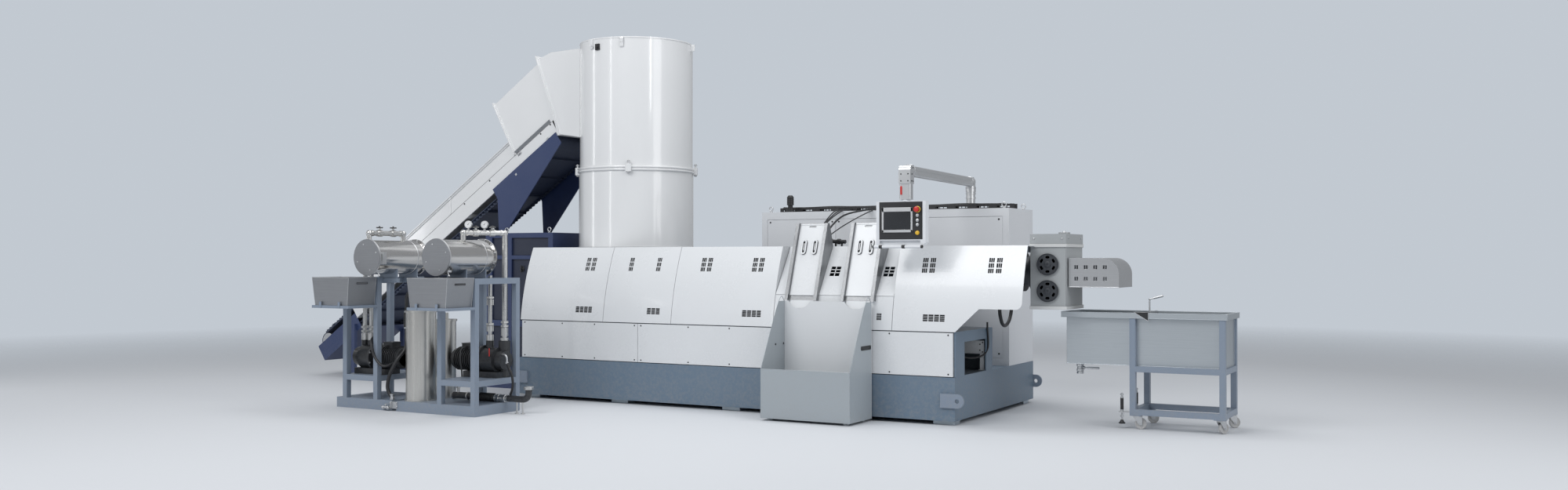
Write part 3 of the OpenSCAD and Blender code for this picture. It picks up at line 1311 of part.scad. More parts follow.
// Pump set on the platform: finned motor, coupling, and a pump head under the suction pipes
shaft_z = shelf_z + rack_tube + 150;
module pump_set(x, y, way) translate([x, y, shaft_z]) mirror([way < 0 ? 1 : 0, 0, 0]) {
    bar_x([0, 0, 0], 94, 240);
    for (i = [0 : 9]) bar_x([14 + i * 22, 0, 0], 106, 8);
    bar_x([-26, 0, 0], 90, 30);
    bar_x([238, 0, 0], 66, 50);
    bar_x([286, 0, 0], 128, 22);
    bar_x([306, 0, 0], 110, 150);
    bar_x([454, 0, 0], 84, 80);
    span([30, -90, -150], [500, 90, -98]);
    span([70, -50, 80], [180, 50, 136]);
}
pump_a_y = skid_y + 180;
pump_b_y = pipe_y - 50;
module pump_sets() color(dark) {
    difference() {
        union() {
            pump_set(frame_b - 120, pump_b_y, 1);
            bar_z([riser_x, pipe_y, shelf_z + rack_tube], 52, 620 - seat - shelf_z - rack_tube);
            bar_z([frame_b + 230, pump_b_y, shaft_z], 34, 620 - seat - shaft_z);
        }
        span([frame_b - 200, skid_y - 1, shelf_z], [frame_b - 1, 0, shelf_z + rack_tube + 53]);
    }
    difference() {
        union() {
            pump_set(frame_a + rack_w + 120, pump_a_y, -1);
            for (x = pipes_a) bar_z([x, pump_a_y, shaft_z], 30, 600 - seat - shaft_z);
        }
        span([frame_a + rack_w + 1, skid_y - 1, shelf_z],
            [frame_a + rack_w + 300, 0, shelf_z + rack_tube + 53]);
    }
}
pipes_a = [frame_a + rack_tube + pipe_r + 14, frame_a + rack_tube + pipe_r + 92];

module separator(x, y, r, h) {
    bar_z([x, y, skid_h], r, h);
    bar_z([x, y, skid_h], r + 10, 12);
    bar_z([x, y, skid_h + h - 14], r + 10, 16);
    bar_z([x, y, skid_h + h], 24, 60);
}
sep_x = -skid_b_x - skid_b_l + sep_r + 12;
module separators() color(steel) {
    separator(sep_x, skid_y + sep_r + 24, sep_r, sep_h);
    separator(sep_x + 10, skid_y + skid_d - 120, 90, 700);
}

// Hose from the left separator's top: over in a half turn, then down through its valve
hose_r = 16;
hose_bend = 88;
module hoses() color(dark) translate([sep_x, skid_y + sep_r + 24, skid_h + sep_h + 60 + seat]) {
    cylinder(r = hose_r, h = 30);
    translate([-hose_bend, 0, 30]) rotate([90, 0, 0])
        rotate_extrude(angle = 180) translate([hose_bend, 0]) circle(hose_r);
    translate([-2 * hose_bend, 0, -380]) cylinder(r = hose_r, h = 410);
    translate([-2 * hose_bend, 0, -210]) cylinder(r = hose_r + 8, h = 130);
}

at_datum() base_frame();
at_datum() base_feet();
at_datum() lifting_lugs();
at_datum() side_panels();
at_datum() end_frame();
at_datum() core_housing();
at_datum() left_hoods();
at_datum() centre_cover();
at_datum() right_hood();
at_datum() discharge_chutes();
at_datum() chute_cover_left();
at_datum() chute_cover_right();
at_datum() purge_bin();
at_datum() compactor_drum();
at_datum() clamp_ring();
at_datum() feed_tower();
at_datum() tower_lid();
at_datum() inlet_duct();
at_datum() conveyor_head();
at_datum() conveyor_frame();
at_datum() conveyor_belt();
at_datum() conveyor_rollers();
at_datum() loading_trough();
at_datum() gusset_plates();
at_datum() feed_stand();
at_datum() control_cabinet();
at_datum() cabinet_panels();
at_datum() cable_tray();
at_datum() beacon();
at_datum() eye_bolts();
at_datum() arm_column();
at_datum() swing_arm();
at_datum() pendant_case();
at_datum() pendant_face();
at_datum() barrel();
at_datum() cutter_housing();
at_datum() cutter_lid();
at_datum() rotor_covers();
at_datum() cutter_guard();
at_datum() water_tank();
at_datum() tank_cart();
at_datum() tank_fittings();
at_datum() levelling_jacks();
at_datum() caster_fork(0);  // caster_fork_1
at_datum() caster_fork(1);  // caster_fork_2
at_datum() caster_fork(2);  // caster_fork_3
at_datum() caster_fork(3);  // caster_fork_4
at_datum() caster_wheel(0);  // caster_wheel_1
at_datum() caster_wheel(1);  // caster_wheel_2
at_datum() caster_wheel(2);  // caster_wheel_3
at_datum() caster_wheel(3);  // caster_wheel_4
at_datum() skid_frames();
at_datum() catch_trays();
at_datum() vacuum_tanks();
at_datum() tank_covers();
at_datum() suction_pipes();
at_datum() pump_sets();
at_datum() separators();
at_datum() hoses();
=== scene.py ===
import math
import bmesh
import bpy
from mathutils import Matrix, Vector
from types import SimpleNamespace as Places


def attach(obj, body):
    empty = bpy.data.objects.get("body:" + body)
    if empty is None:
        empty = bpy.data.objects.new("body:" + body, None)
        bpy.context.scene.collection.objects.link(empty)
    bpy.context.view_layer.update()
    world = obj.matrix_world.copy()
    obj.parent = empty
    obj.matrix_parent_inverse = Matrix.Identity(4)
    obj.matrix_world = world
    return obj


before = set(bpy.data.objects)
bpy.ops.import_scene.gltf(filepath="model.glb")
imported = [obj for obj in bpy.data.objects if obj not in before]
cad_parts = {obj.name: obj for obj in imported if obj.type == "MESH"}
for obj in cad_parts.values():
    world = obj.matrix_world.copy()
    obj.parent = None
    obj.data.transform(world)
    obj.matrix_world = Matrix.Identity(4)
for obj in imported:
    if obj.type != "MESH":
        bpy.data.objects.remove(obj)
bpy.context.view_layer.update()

UP, DOWN, FRONT, RIGHT, BACK = (0, 0, 1), (0, 0, -1), (0, -1, 0), (1, 0, 0), (0, 1, 0)

# The origin of the part is the sole of the front right foot; the line's own corner lies at this offset
LINE_X = 0.12
LINE_Y = -0.12


def at_line(x, y, z):
    """A point given from the plinth's front right corner, in the part's frame."""
    return Vector((x + LINE_X, y + LINE_Y, z))


def up(height):
    """A step straight up."""
    return Vector((0, 0, height))


# Shared finishes as node groups

class Finish:
    """Adds nodes to a tree and wires them."""

    def __init__(self, tree):
        self.nodes = tree.nodes
        self.links = tree.links

    def add(self, kind, inputs=(), **settings):
        """Adds a node; its inputs get fixed values or are wired to the outputs of other nodes."""
        node = self.nodes.new(kind)
        for key, value in settings.items():
            setattr(node, key, value)
        for key, value in dict(inputs).items():
            if isinstance(value, bpy.types.NodeSocket):
                self.wire(value, node.inputs[key])
            else:
                node.inputs[key].default_value = value
        return node

    def wire(self, source, target):
        self.links.new(source, target)

    def object_place(self):
        return self.add("ShaderNodeTexCoord").outputs["Object"]

    def math(self, operation, first, second, clamp=False):
        inputs = {0: first, 1: second}
        return self.add("ShaderNodeMath", inputs, operation=operation, use_clamp=clamp).outputs[0]

    def noise(self, place, scale, detail, rough):
        inputs = {"Vector": place, "Scale": scale, "Detail": detail, "Roughness": rough}
        return self.add("ShaderNodeTexNoise", inputs).outputs["Fac"]

    def spread(self, value, low, high, to_low=0.0, to_high=1.0):
        inputs = {"Value": value, "From Min": low, "From Max": high, "To Min": to_low, "To Max": to_high}
        return self.add("ShaderNodeMapRange", inputs, clamp=True).outputs["Result"]

    def blend(self, fac, first, second):
        return self.add("ShaderNodeMix", {0: fac, 6: first, 7: second}, data_type="RGBA").outputs[2]

    def close(self, tree_inputs, out, colour, rough, height, strength, distance):
        """Softens the edges, adds the bump and gives the group its three outputs."""
        bevel = self.add("ShaderNodeBevel", {"Radius": tree_inputs["Edge"]}, samples=3)
        bump = self.add("ShaderNodeBump", {
            "Strength": strength, "Distance": distance, "Height": height, "Normal": bevel.outputs[0]})
        for name, source in (("Colour", colour), ("Roughness", rough), ("Normal", bump.outputs[0])):
            self.wire(source, out.inputs[name])


FLOAT, COLOUR, VECTOR = "NodeSocketFloat", "NodeSocketColor", "NodeSocketVector"


def new_group(name, inputs):
    """A group with the given inputs, and with a colour, a roughness and a normal as outputs."""
    tree = bpy.data.node_groups.new(name, "ShaderNodeTree")
    for label, kind, value in inputs:
        tree.interface.new_socket(label, in_out="INPUT", socket_type=kind).default_value = value
    for label, kind in (("Colour", COLOUR), ("Roughness", FLOAT), ("Normal", VECTOR)):
        tree.interface.new_socket(label, in_out="OUTPUT", socket_type=kind)
    made = Finish(tree)
    return tree, made, made.add("NodeGroupInput").outputs, made.add("NodeGroupOutput")


def make_paint_film():
    """Sprayed paint: cloudy tone, dust low down, orange peel and edges that catch the light."""
    tree, g, given, out = new_group("paint_film", [
        ("Paint", COLOUR, (0.8, 0.8, 0.8, 1)), ("Dust", COLOUR, (0.35, 0.33, 0.3, 1)),
        ("Dust Amount", FLOAT, 0.2), ("Gloss Roughness", FLOAT, 0.25), ("Peel", FLOAT, 0.1),
        ("Edge", FLOAT, 0.002)])
    place = g.object_place()
    height = g.add("ShaderNodeSeparateXYZ", {0: place})
    clouds = g.noise(place, 1.7, 5.0, 0.6)
    specks = g.noise(place, 46.0, 4.0, 0.7)
    low_down = g.math("MULTIPLY", g.spread(height.outputs["Z"], 0.75, 0.0), 0.8)
    settled = g.math("MULTIPLY", g.spread(specks, 0.42, 0.78), g.math("ADD", low_down, 0.12))
    settled = g.math("MULTIPLY", settled, given["Dust Amount"], clamp=True)
    toned = g.blend(g.spread(clouds, 0.3, 0.7, 0.0, 0.055), given["Paint"], (0.3, 0.32, 0.34, 1))
    colour = g.blend(settled, toned, given["Dust"])
    rough = g.math("ADD", given["Gloss Roughness"], g.math("MULTIPLY", g.spread(clouds, 0.3, 0.7), 0.05))
    rough = g.math("ADD", rough, g.math("MULTIPLY", settled, 0.5), clamp=True)
    g.close(given, out, colour, rough, g.noise(place, 210.0, 2.0, 0.5), given["Peel"], 0.0006)
    return tree


def make_brushed_grain():
    """Brushed or rolled steel: fine lines along one direction, cloudy patches and soft edges."""
    tree, g, given, out = new_group("brushed_grain", [
        ("Metal", COLOUR, (0.7, 0.7, 0.7, 1)), ("Shade", COLOUR, (0.4, 0.4, 0.4, 1)),
        ("Direction", VECTOR, (1.0, 1.0, 60.0)), ("Base Roughness", FLOAT, 0.3), ("Contrast", FLOAT, 0.3),
        ("Edge", FLOAT, 0.0015)])
    place = g.object_place()
    stretch = g.add("ShaderNodeVectorMath", {0: place, 1: given["Direction"]}, operation="MULTIPLY")
    lines = g.noise(stretch.outputs[0], 7.0, 3.0, 0.6)
    patches = g.noise(place, 3.1, 4.0, 0.6)
    tone = g.math("ADD", g.math("MULTIPLY", lines, 0.6), g.math("MULTIPLY", patches, 0.4))
    shade = g.math("MULTIPLY", g.spread(tone, 0.35, 0.65), given["Contrast"])
    colour = g.blend(shade, given["Metal"], given["Shade"])
    rough = g.math("ADD", given["Base Roughness"], g.math("MULTIPLY", g.spread(tone, 0.3, 0.7), 0.14),
                   clamp=True)
    g.close(given, out, colour, rough, lines, 0.12, 0.0004)
    return tree


paint_film = make_paint_film()
brushed_grain = make_brushed_grain()

DUST, DARK_DUST = (0.36, 0.34, 0.31), (0.16, 0.16, 0.17)
GRAIN = {"X": (0.5, 40, 40), "Y": (40, 0.5, 40), "Z": (40, 40, 0.5), "ALL": (6, 6, 6)}


def start_material(name):
    material = bpy.data.materials.new(name)
    material.use_nodes = True
    made = Finish(material.node_tree)
    return material, made, made.nodes["Principled BSDF"]


def group_material(name, tree, group_inputs, surface_inputs):
    """A material whose colour, roughness and normal come from a shared group."""
    material, made, surface = start_material(name)
    film = made.add("ShaderNodeGroup", group_inputs, node_tree=tree)
    for source, target in (("Colour", "Base Color"), ("Roughness", "Roughness"), ("Normal", "Normal")):
        made.wire(film.outputs[source], surface.inputs[target])
    for key, value in surface_inputs.items():
        surface.inputs[key].default_value = value
    return material


def painted(name, paint, roughness, dust, coat, peel=0.08, dust_colour=DUST):
    """Painted sheet or section steel, or a moulded piece."""
    return group_material(name, paint_film, {
        "Paint": (*paint, 1), "Dust": (*dust_colour, 1), "Dust Amount": dust, "Gloss Roughness": roughness,
        "Peel": peel, "Edge": 0.002}, {"Coat Weight": coat, "Coat Roughness": 0.08})


def bare_metal(name, metal, shade, along, roughness, contrast):
    """Unpainted metal with its grain along X, Y or Z, or along none."""
    return group_material(name, brushed_grain, {
        "Metal": (*metal, 1), "Shade": (*shade, 1), "Direction": GRAIN[along], "Base Roughness": roughness,
        "Contrast": contrast, "Edge": 0.0015}, {"Metallic": 1.0})


# Each paint: name, colour, roughness, dust and clear coat
white_gloss = painted("white_panel_paint", (0.76, 0.78, 0.8), 0.24, 0.22, 0.35)
tower_white = painted("tower_paint", (0.78, 0.79, 0.8), 0.2, 0.06, 0.7)
cabinet_white = painted("cabinet_paint", (0.74, 0.76, 0.79), 0.36, 0.12, 0.1)
plinth_paint = painted("plinth_paint", (0.135, 0.195, 0.265), 0.42, 0.5, 0.05)
frame_paint = painted("tube_frame_paint", (0.225, 0.275, 0.35), 0.38, 0.35, 0.1)
navy_paint = painted("navy_paint", (0.022, 0.042, 0.125), 0.36, 0.15, 0.1)
housing_paint = painted("cutter_paint", (0.36, 0.38, 0.39), 0.4, 0.15, 0.1)
strip_paint = painted("cutter_strip_paint", (0.62, 0.63, 0.63), 0.4, 0.15, 0.1)
black_paint = painted("black_machine_paint", (0.014, 0.015, 0.017), 0.34, 0.35, 0.2, dust_colour=DARK_DUST)
black_plastic = painted("black_plastic", (0.012, 0.012, 0.014), 0.4, 0.15, 0.0,
                        dust_colour=(0.12, 0.12, 0.12))
dark_disc = painted("cast_cover", (0.035, 0.04, 0.048), 0.45, 0.3, 0.0, dust_colour=DARK_DUST)
belt_rubber = painted("belt_rubber", (0.022, 0.035, 0.075), 0.6, 0.5, 0.0, peel=0.5)
wheel_plastic = painted("wheel_tread", (0.5, 0.5, 0.5), 0.5, 0.6, 0.0)
# Paint of the core housing: a blue-grey made darker than the housing is, as painted shade of the shadowed end
# bay
core_paint_and_shade = painted("core_paint_and_shade", (0.085, 0.105, 0.13), 0.45, 0.3, 0.05)
bin_paint = painted("bin_paint", (0.37, 0.41, 0.44), 0.38, 0.2, 0.15)
red_plastic = painted("red_plastic", (0.55, 0.02, 0.015), 0.3, 0.05, 0.2)
yellow_plastic = painted("yellow_plastic", (0.75, 0.45, 0.02), 0.35, 0.05, 0.2)
screen_glass = painted("screen_glass", (0.012, 0.014, 0.018), 0.08, 0.1, 0.6, peel=0.0,
                       dust_colour=(0.1, 0.11, 0.13))
dial_white = painted("gauge_dial", (0.78, 0.79, 0.8), 0.3, 0.05, 0.2)
recess_navy = painted("recess_navy", (0.008, 0.014, 0.04), 0.4, 0.1, 0.1)

# Each metal: name, light and dark tone, grain, roughness and contrast
pale_steel = bare_metal("folded_steel", (0.5, 0.56, 0.61), (0.38, 0.44, 0.49), "X", 0.42, 0.35)
tank_steel = bare_metal("tank_steel", (0.55, 0.59, 0.62), (0.42, 0.46, 0.49), "X", 0.36, 0.4)
tray_steel = bare_metal("tray_steel", (0.4, 0.41, 0.43), (0.28, 0.29, 0.31), "X", 0.38, 0.4)
chute_steel = bare_metal("chute_steel", (0.34, 0.35, 0.36), (0.16, 0.16, 0.17), "Z", 0.34, 0.55)
mirror_steel = bare_metal("polished_steel", (0.64, 0.63, 0.62), (0.46, 0.45, 0.44), "Y", 0.09, 0.3)
pipe_steel = bare_metal("pipe_steel", (0.66, 0.66, 0.65), (0.42, 0.42, 0.42), "Z", 0.22, 0.3)
separator_steel = bare_metal("rolled_steel", (0.66, 0.65, 0.62), (0.4, 0.39, 0.37), "Z", 0.24, 0.45)
guard_steel = bare_metal("guard_steel", (0.62, 0.63, 0.64), (0.42, 0.43, 0.45), "X", 0.28, 0.5)
arm_alu = bare_metal("arm_aluminium", (0.7, 0.71, 0.72), (0.55, 0.56, 0.58), "Y", 0.3, 0.3)
jack_steel = bare_metal("jack_steel", (0.6, 0.61, 0.62), (0.42, 0.43, 0.45), "Z", 0.32, 0.4)
zinc_steel = bare_metal("zinc_plated", (0.66, 0.67, 0.68), (0.46, 0.47, 0.49), "ALL", 0.3, 0.4)


def second_tone(material, axis, low, high, colour):
    """Another paint on the part of a piece that lies between two places along an axis of the part's frame."""
    made = Finish(material.node_tree)
    surface = made.nodes["Principled BSDF"]
    place = made.add("ShaderNodeSeparateXYZ", {0: made.object_place()})
    along = place.outputs[axis]
    inside = made.math("MULTIPLY", made.math("GREATER_THAN", along, low),
                       made.math("LESS_THAN", along, high))
    first = surface.inputs["Base Color"].links[0].from_socket
    made.wire(made.blend(inside, first, (*colour, 1)), surface.inputs["Base Color"])
    bare = surface.inputs["Metallic"].default_value
    made.wire(made.math("MULTIPLY", made.math("SUBTRACT", 1.0, inside), bare), surface.inputs["Metallic"])


BIN_BACK_INNER = -0.0245
LIP_LOW, LIP_TOP = 0.8, 0.984
JACK_FOOT_TOP = 0.0725
LIGHT_TONE, BLACK_TONE = (0.74, 0.76, 0.78), (0.014, 0.015, 0.017)
second_tone(bin_paint, "Y", BIN_BACK_INNER + LINE_Y, 0.0, LIGHT_TONE)
second_tone(chute_steel, "Z", LIP_LOW, LIP_TOP, LIGHT_TONE)
second_tone(jack_steel, "Z", -0.01, JACK_FOOT_TOP, BLACK_TONE)

# The finish of each CAD node
CAD_FINISH = (
    (plinth_paint, "base_frame end_frame"),
    (pale_steel, "base_feet"),
    (frame_paint, "lifting_lugs tank_cart skid_frames"),
    (core_paint_and_shade, "core_housing"),
    (white_gloss, "side_panels left_hoods centre_cover right_hood chute_cover_left chute_cover_right"),
    (chute_steel, "discharge_chutes"),
    (bin_paint, "purge_bin"),
    (tower_white, "compactor_drum clamp_ring feed_tower tower_lid inlet_duct conveyor_head conveyor_frame"),
    (belt_rubber, "conveyor_belt"),
    (zinc_steel,
     "conveyor_rollers eye_bolts tank_fittings caster_fork_1 caster_fork_2 caster_fork_3 caster_fork_4"),
    (navy_paint, "loading_trough gusset_plates feed_stand"),
    (cabinet_white, "control_cabinet cabinet_panels pendant_case"),
    (black_plastic, "cable_tray beacon pendant_face hoses"),
    (arm_alu, "arm_column swing_arm"),
    (dark_disc, "barrel rotor_covers"),
    (housing_paint, "cutter_housing cutter_lid"),
    (guard_steel, "cutter_guard"),
    (tank_steel, "water_tank"),
    (jack_steel, "levelling_jacks"),
    (tray_steel, "catch_trays tank_covers"),
    (mirror_steel, "vacuum_tanks"),
    (pipe_steel, "suction_pipes"),
    (black_paint, "pump_sets"),
    (separator_steel, "separators"),
    (wheel_plastic, "caster_wheel_1 caster_wheel_2 caster_wheel_3 caster_wheel_4"),
)
for finish, node_names in CAD_FINISH:
    for node_name in node_names.split():
        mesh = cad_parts[node_name].data
        mesh.materials.clear()
        mesh.materials.append(finish)

# The colour slot of each finish; finishing a piece looks it up unless the piece names another, and does not
# keep it
SLOT_OF = {
    finish.name: slot for slot, finishes in {
        "bright_steel": (zinc_steel, pipe_steel, guard_steel),
        "black_parts": (black_plastic, black_paint, red_plastic, yellow_plastic, screen_glass),
        "white_panels": (white_gloss, tower_white, dial_white),
        "pale_steel": (tank_steel, bin_paint),
        "aluminium_profile": (arm_alu,),
        "dark_iron": (dark_disc,),
        "machine_grey": (strip_paint,),
        "tray_steel": (tray_steel,),
        "belt_rubber": (belt_rubber,),
        "navy_paint": (recess_navy,),
    }.items() for finish in finishes}

# Making pieces: every point is given from the plinth's front right corner

class Form:
    """Collects solids of one piece in a bmesh, then turns them into an object that rides on a body."""

    def __init__(self, turn=Matrix.Identity(4)):
        self.mesh = bmesh.new()
        self.turn = turn

    def put(self, verts, place):
        """Moves new vertices by a matrix, on top of the form's own turn."""
        bmesh.ops.transform(self.mesh, matrix=self.turn @ place, verts=verts)

    def box(self, low, high):
        low, high = Vector(low), Vector(high)
        self.tilted_box((low + high) / 2, high - low, Matrix.Identity(3))

    def tilted_box(self, centre, size, turn):
        made = bmesh.ops.create_cube(self.mesh, size=1.0)["verts"]
        if not isinstance(turn, Matrix):
            turn = turn.to_matrix()
        self.put(made, Matrix.Translation(centre) @ turn.to_4x4() @ Matrix.Diagonal((*size, 1)))

    def rod(self, start, end, radius, end_radius=None, sides=24):
        start, end = Vector(start), Vector(end)
        way = end - start
        made = bmesh.ops.create_cone(
            self.mesh, cap_ends=True, segments=sides, radius1=radius,
            radius2=radius if end_radius is None else end_radius, depth=way.length)["verts"]
        self.put(made, Matrix.Translation((start + end) / 2) @ facing_along(way))

    def ball(self, centre, radius, sides=16):
        made = bmesh.ops.create_uvsphere(self.mesh, u_segments=sides, v_segments=sides // 2,
                                         radius=radius)["verts"]
        self.put(made, Matrix.Translation(centre))

    def ring(self, points):
        return [self.mesh.verts.new(self.turn @ point) for point in points]

    def join(self, rings, capped=True):
        """Faces between each two neighbouring rings of points, and over both ends."""
        for lower, upper in zip(rings, rings[1:]):
            for step in range(len(lower)):
                after = (step + 1) % len(lower)
                self.mesh.faces.new((lower[step], lower[after], upper[after], upper[step]))
        if capped:
            self.mesh.faces.new(list(reversed(rings[0])))
            self.mesh.faces.new(rings[-1])

    def lathe(self, profile, centre, axis, sides):
        """Turns a profile of (radius, height) points about an axis that starts at the centre."""
        place = Matrix.Translation(centre) @ facing_along(Vector(axis))
        self.join([self.ring(place @ Vector((*spot, height)) for spot in circle(radius, sides))
                   for radius, height in profile])

    def sweep(self, route, radius, sides=12, closed_ends=True):
        """A round bar or hose along a smoothed route."""
        points = smooth_route([Vector(point) for point in route])
        normal = (points[1] - points[0]).orthogonal()
        rings = []
        for index, point in enumerate(points):
            ahead = (points[min(index + 1, len(points) - 1)] - points[max(index - 1, 0)]).normalized()
            normal = (normal - ahead * normal.dot(ahead)).normalized()
            side = ahead.cross(normal)
            rings.append(self.ring(point + normal * a + side * b for a, b in circle(radius, sides)))
        self.join(rings, closed_ends)

    def prism(self, outline, low, high, axis="Y"):
        """A flat outline pushed along an axis; the outline lies in the other two axes."""
        def point(a, b, depth):
            return Vector((depth, a, b)) if axis == "X" else Vector((a, depth, b))
        self.join([self.ring(point(*pair, depth) for pair in outline) for depth in (low, high)])

    def finish(self, name, finish, body="line", bevel=0.0, slot=None, smooth=True):
        bmesh.ops.recalc_face_normals(self.mesh, faces=self.mesh.faces)
        bmesh.ops.transform(self.mesh, matrix=Matrix.Translation((LINE_X, LINE_Y, 0)),
                            verts=self.mesh.verts)
        data = bpy.data.meshes.new(name)
        self.mesh.to_mesh(data)
        self.mesh.free()
        data.materials.append(finish)
        if smooth:
            data.polygons.foreach_set("use_smooth", [True] * len(data.polygons))
            data.set_sharp_from_angle(angle=math.radians(35))
        piece = add_object(name, data)
        if bevel:
            rounding = piece.modifiers.new("rounding", "BEVEL")
            rounding.width = bevel
            rounding.segments = 2
            rounding.limit_method = "ANGLE"
            rounding.angle_limit = math.radians(40)
            rounding.harden_normals = False
        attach(piece, body)
        slot = slot or SLOT_OF[finish.name]


def add_object(name, data):
    added = bpy.data.objects.new(name, data)
    bpy.context.scene.collection.objects.link(added)
    return added


def facing_along(way):
    """The turn that takes the Z axis to a direction."""
    return way.to_track_quat("Z", "Y").to_matrix().to_4x4()


def circle(radius, sides):
    """The corners of a circle about the origin, as pairs."""
    angles = [2 * math.pi * step / sides for step in range(sides)]
    return [(radius * math.cos(angle), radius * math.sin(angle)) for angle in angles]


def round_spots(centre, radius, degrees, first, second):
    """Points on a circle about a centre, in the plane of two directions."""
    return [Vector(centre) + Vector(first) * (radius * math.cos(math.radians(turn)))
            + Vector(second) * (radius * math.sin(math.radians(turn))) for turn in degrees]


def collar(inner, outer, length, edge):
    """The profile of a ring round a pipe or pin, with sloped edges."""
    return [(inner, 0), (outer, edge), (outer, length - edge), (inner, length)]


ROUTE_STEPS = 6


def smooth_route(points):
    """Catmull-Rom points through a route."""
    if len(points) < 3:
        return points
    padded = [points[0] * 2 - points[1]] + points + [points[-1] * 2 - points[-2]]
    result = []
    for index in range(1, len(padded) - 2):
        before, start, end, after = padded[index - 1:index + 3]
        for step in range(ROUTE_STEPS):
            t = step / ROUTE_STEPS
            square = before * 2 - start * 5 + end * 4 - after
            cube = start * 3 - before - end * 3 + after
            result.append(0.5 * (start * 2 + (end - before) * t + square * t * t + cube * t ** 3))
    result.append(points[-1])
    return result


# Hoods: the same curve as in the part's source

HOOD_LEAN, HOOD_LOW, HOOD_TOP, HOOD_BULGE = 0.185, 0.75, 1.445, 0.028
CENTRE_STEP, CENTRE_BACK = 1.03, 0.315
hood_rise = HOOD_TOP - HOOD_LOW
hood_chord = math.hypot(HOOD_LEAN, hood_rise)
HOOD_RADIUS = (hood_chord ** 2 / 4 + HOOD_BULGE ** 2) / (2 * HOOD_BULGE)
HOOD_CENTRE_Y = HOOD_LEAN / 2 + (HOOD_RADIUS - HOOD_BULGE) * hood_rise / hood_chord
HOOD_CENTRE_Z = HOOD_LOW + hood_rise / 2 - (HOOD_RADIUS - HOOD_BULGE) * HOOD_LEAN / hood_chord


def hood_front(z):
    return HOOD_CENTRE_Y - math.sqrt(HOOD_RADIUS ** 2 - (z - HOOD_CENTRE_Z) ** 2)


def centre_front(z):
    low = hood_front(CENTRE_STEP)
    return low + (CENTRE_BACK - low) * (z - CENTRE_STEP) / (HOOD_TOP - CENTRE_STEP)


UPRIGHT_VENTS = (-3.753, -3.687, -3.25, -2.942, -2.457, -2.391, -1.921, -1.855, -0.306, -0.24, 0.264, 0.33)
VENT_ROWS = (1.241, 1.284, 1.327)
LOW_VENTS = ((-3.725, 4), (-2.933, 3), (-1.896, 4), (-0.188, 4))


def make_vent_slats():
    """Thin slats in each window of the hoods' vents."""
    form = Form()
    for x in UPRIGHT_VENTS:
        for z in VENT_ROWS:
            for shift in (-0.008, 0.008):
                low, high = hood_front(z - 0.0175), hood_front(z + 0.0175)
                form.prism([(low + 0.0005, z - 0.0185), (low + 0.005, z - 0.0185),
                            (high + 0.005, z + 0.0185), (high + 0.0005, z + 0.0185)], x + shift - 0.0014,
                           x + shift + 0.0014, "X")
    for x, count in LOW_VENTS:
        for index in range(count):
            middle = x + (index - (count - 1) / 2) * 0.049
            for z in (0.845, 0.859, 0.873):
                y = hood_front(z)
                form.box((middle - 0.0222, y + 0.0005, z - 0.0015),
                         (middle + 0.0222, y + 0.005, z + 0.0015))
    form.finish("hood_vent_slats", white_gloss, smooth=False)


def make_vent_shade_plates():
    """Black plates behind the vents, painted shade so that the windows look into shade."""
    form = Form()
    for x0, x1 in ((-4.46, -3.5), (-3.48, -2.74), (-2.72, -1.69), (-0.53, 0.52)):
        for z0, z1 in ((1.2, 1.36), (0.815, 0.905)):
            y0, y1 = hood_front(z0) + 0.03, hood_front(z1) + 0.03
            right = min(x1, 0.0) if z0 < 1 else x1
            form.prism([(y0, z0), (y0 + 0.004, z0), (y1 + 0.004, z1), (y1, z1)], x0, right, "X")
    form.finish("vent_painted_shade", black_plastic, smooth=False)


# how far screws and bolts reach into what carries them
SINK = 0.0005


def screw_heads(name, places, radius, height, axis, dark=True):
    """Domed screws with a recess, black or zinc-plated, joined to one piece."""
    form = Form()
    axis = Vector(axis).normalized()
    for place in places:
        form.lathe([(radius, 0.0), (radius, height * 0.35), (radius * 0.86, height * 0.75),
                    (radius * 0.5, height), (radius * 0.42, height), (radius * 0.36, height * 0.6)],
                   Vector(place) - axis * SINK, axis, 12)
    if dark:
        form.finish(name, black_paint, slot="dark_iron")
    else:
        form.finish(name, zinc_steel)


def turned(name, finish, profile, centre, axis, sides, body="line"):
    """One turned piece."""
    form = Form()
    form.lathe(profile, centre, axis, sides)
    form.finish(name, finish, body=body)


def hex_bolts(name, places, across, height, axis):
    """Zinc-plated hexagon bolts on washers, joined to one piece."""
    form = Form()
    axis = Vector(axis).normalized()
    for place in places:
        place = Vector(place)
        form.rod(place - axis * SINK, place + axis * height * 0.22, across * 0.78, sides=16)
        form.rod(place, place + axis * height, across * 0.577, sides=6)
        form.rod(place + axis * height * 0.9, place + axis * height * 1.12, across * 0.44,
                 across * 0.36, sides=12)
    form.finish(name, zinc_steel, smooth=False)


make_vent_slats()
make_vent_shade_plates()

# Screws of the lower side panels: rows, and shares of each panel's width
PANEL_SEAMS, PANEL_FACE = (-4.46, -3.1, -1.561, -0.02), 0.004
PANEL_ROWS, PANEL_SHARES = (0.41, 0.724), (0.025, 0.36, 0.64, 0.975)
panel_screws = [(left + (right - left) * share, PANEL_FACE, z) for left, right in zip(PANEL_SEAMS,
                                                                                      PANEL_SEAMS[1:])
                for z in PANEL_ROWS for share in PANEL_SHARES]
screw_heads("side_panel_screws", panel_screws, 0.007, 0.004, FRONT)

# Discharge chutes and their covers

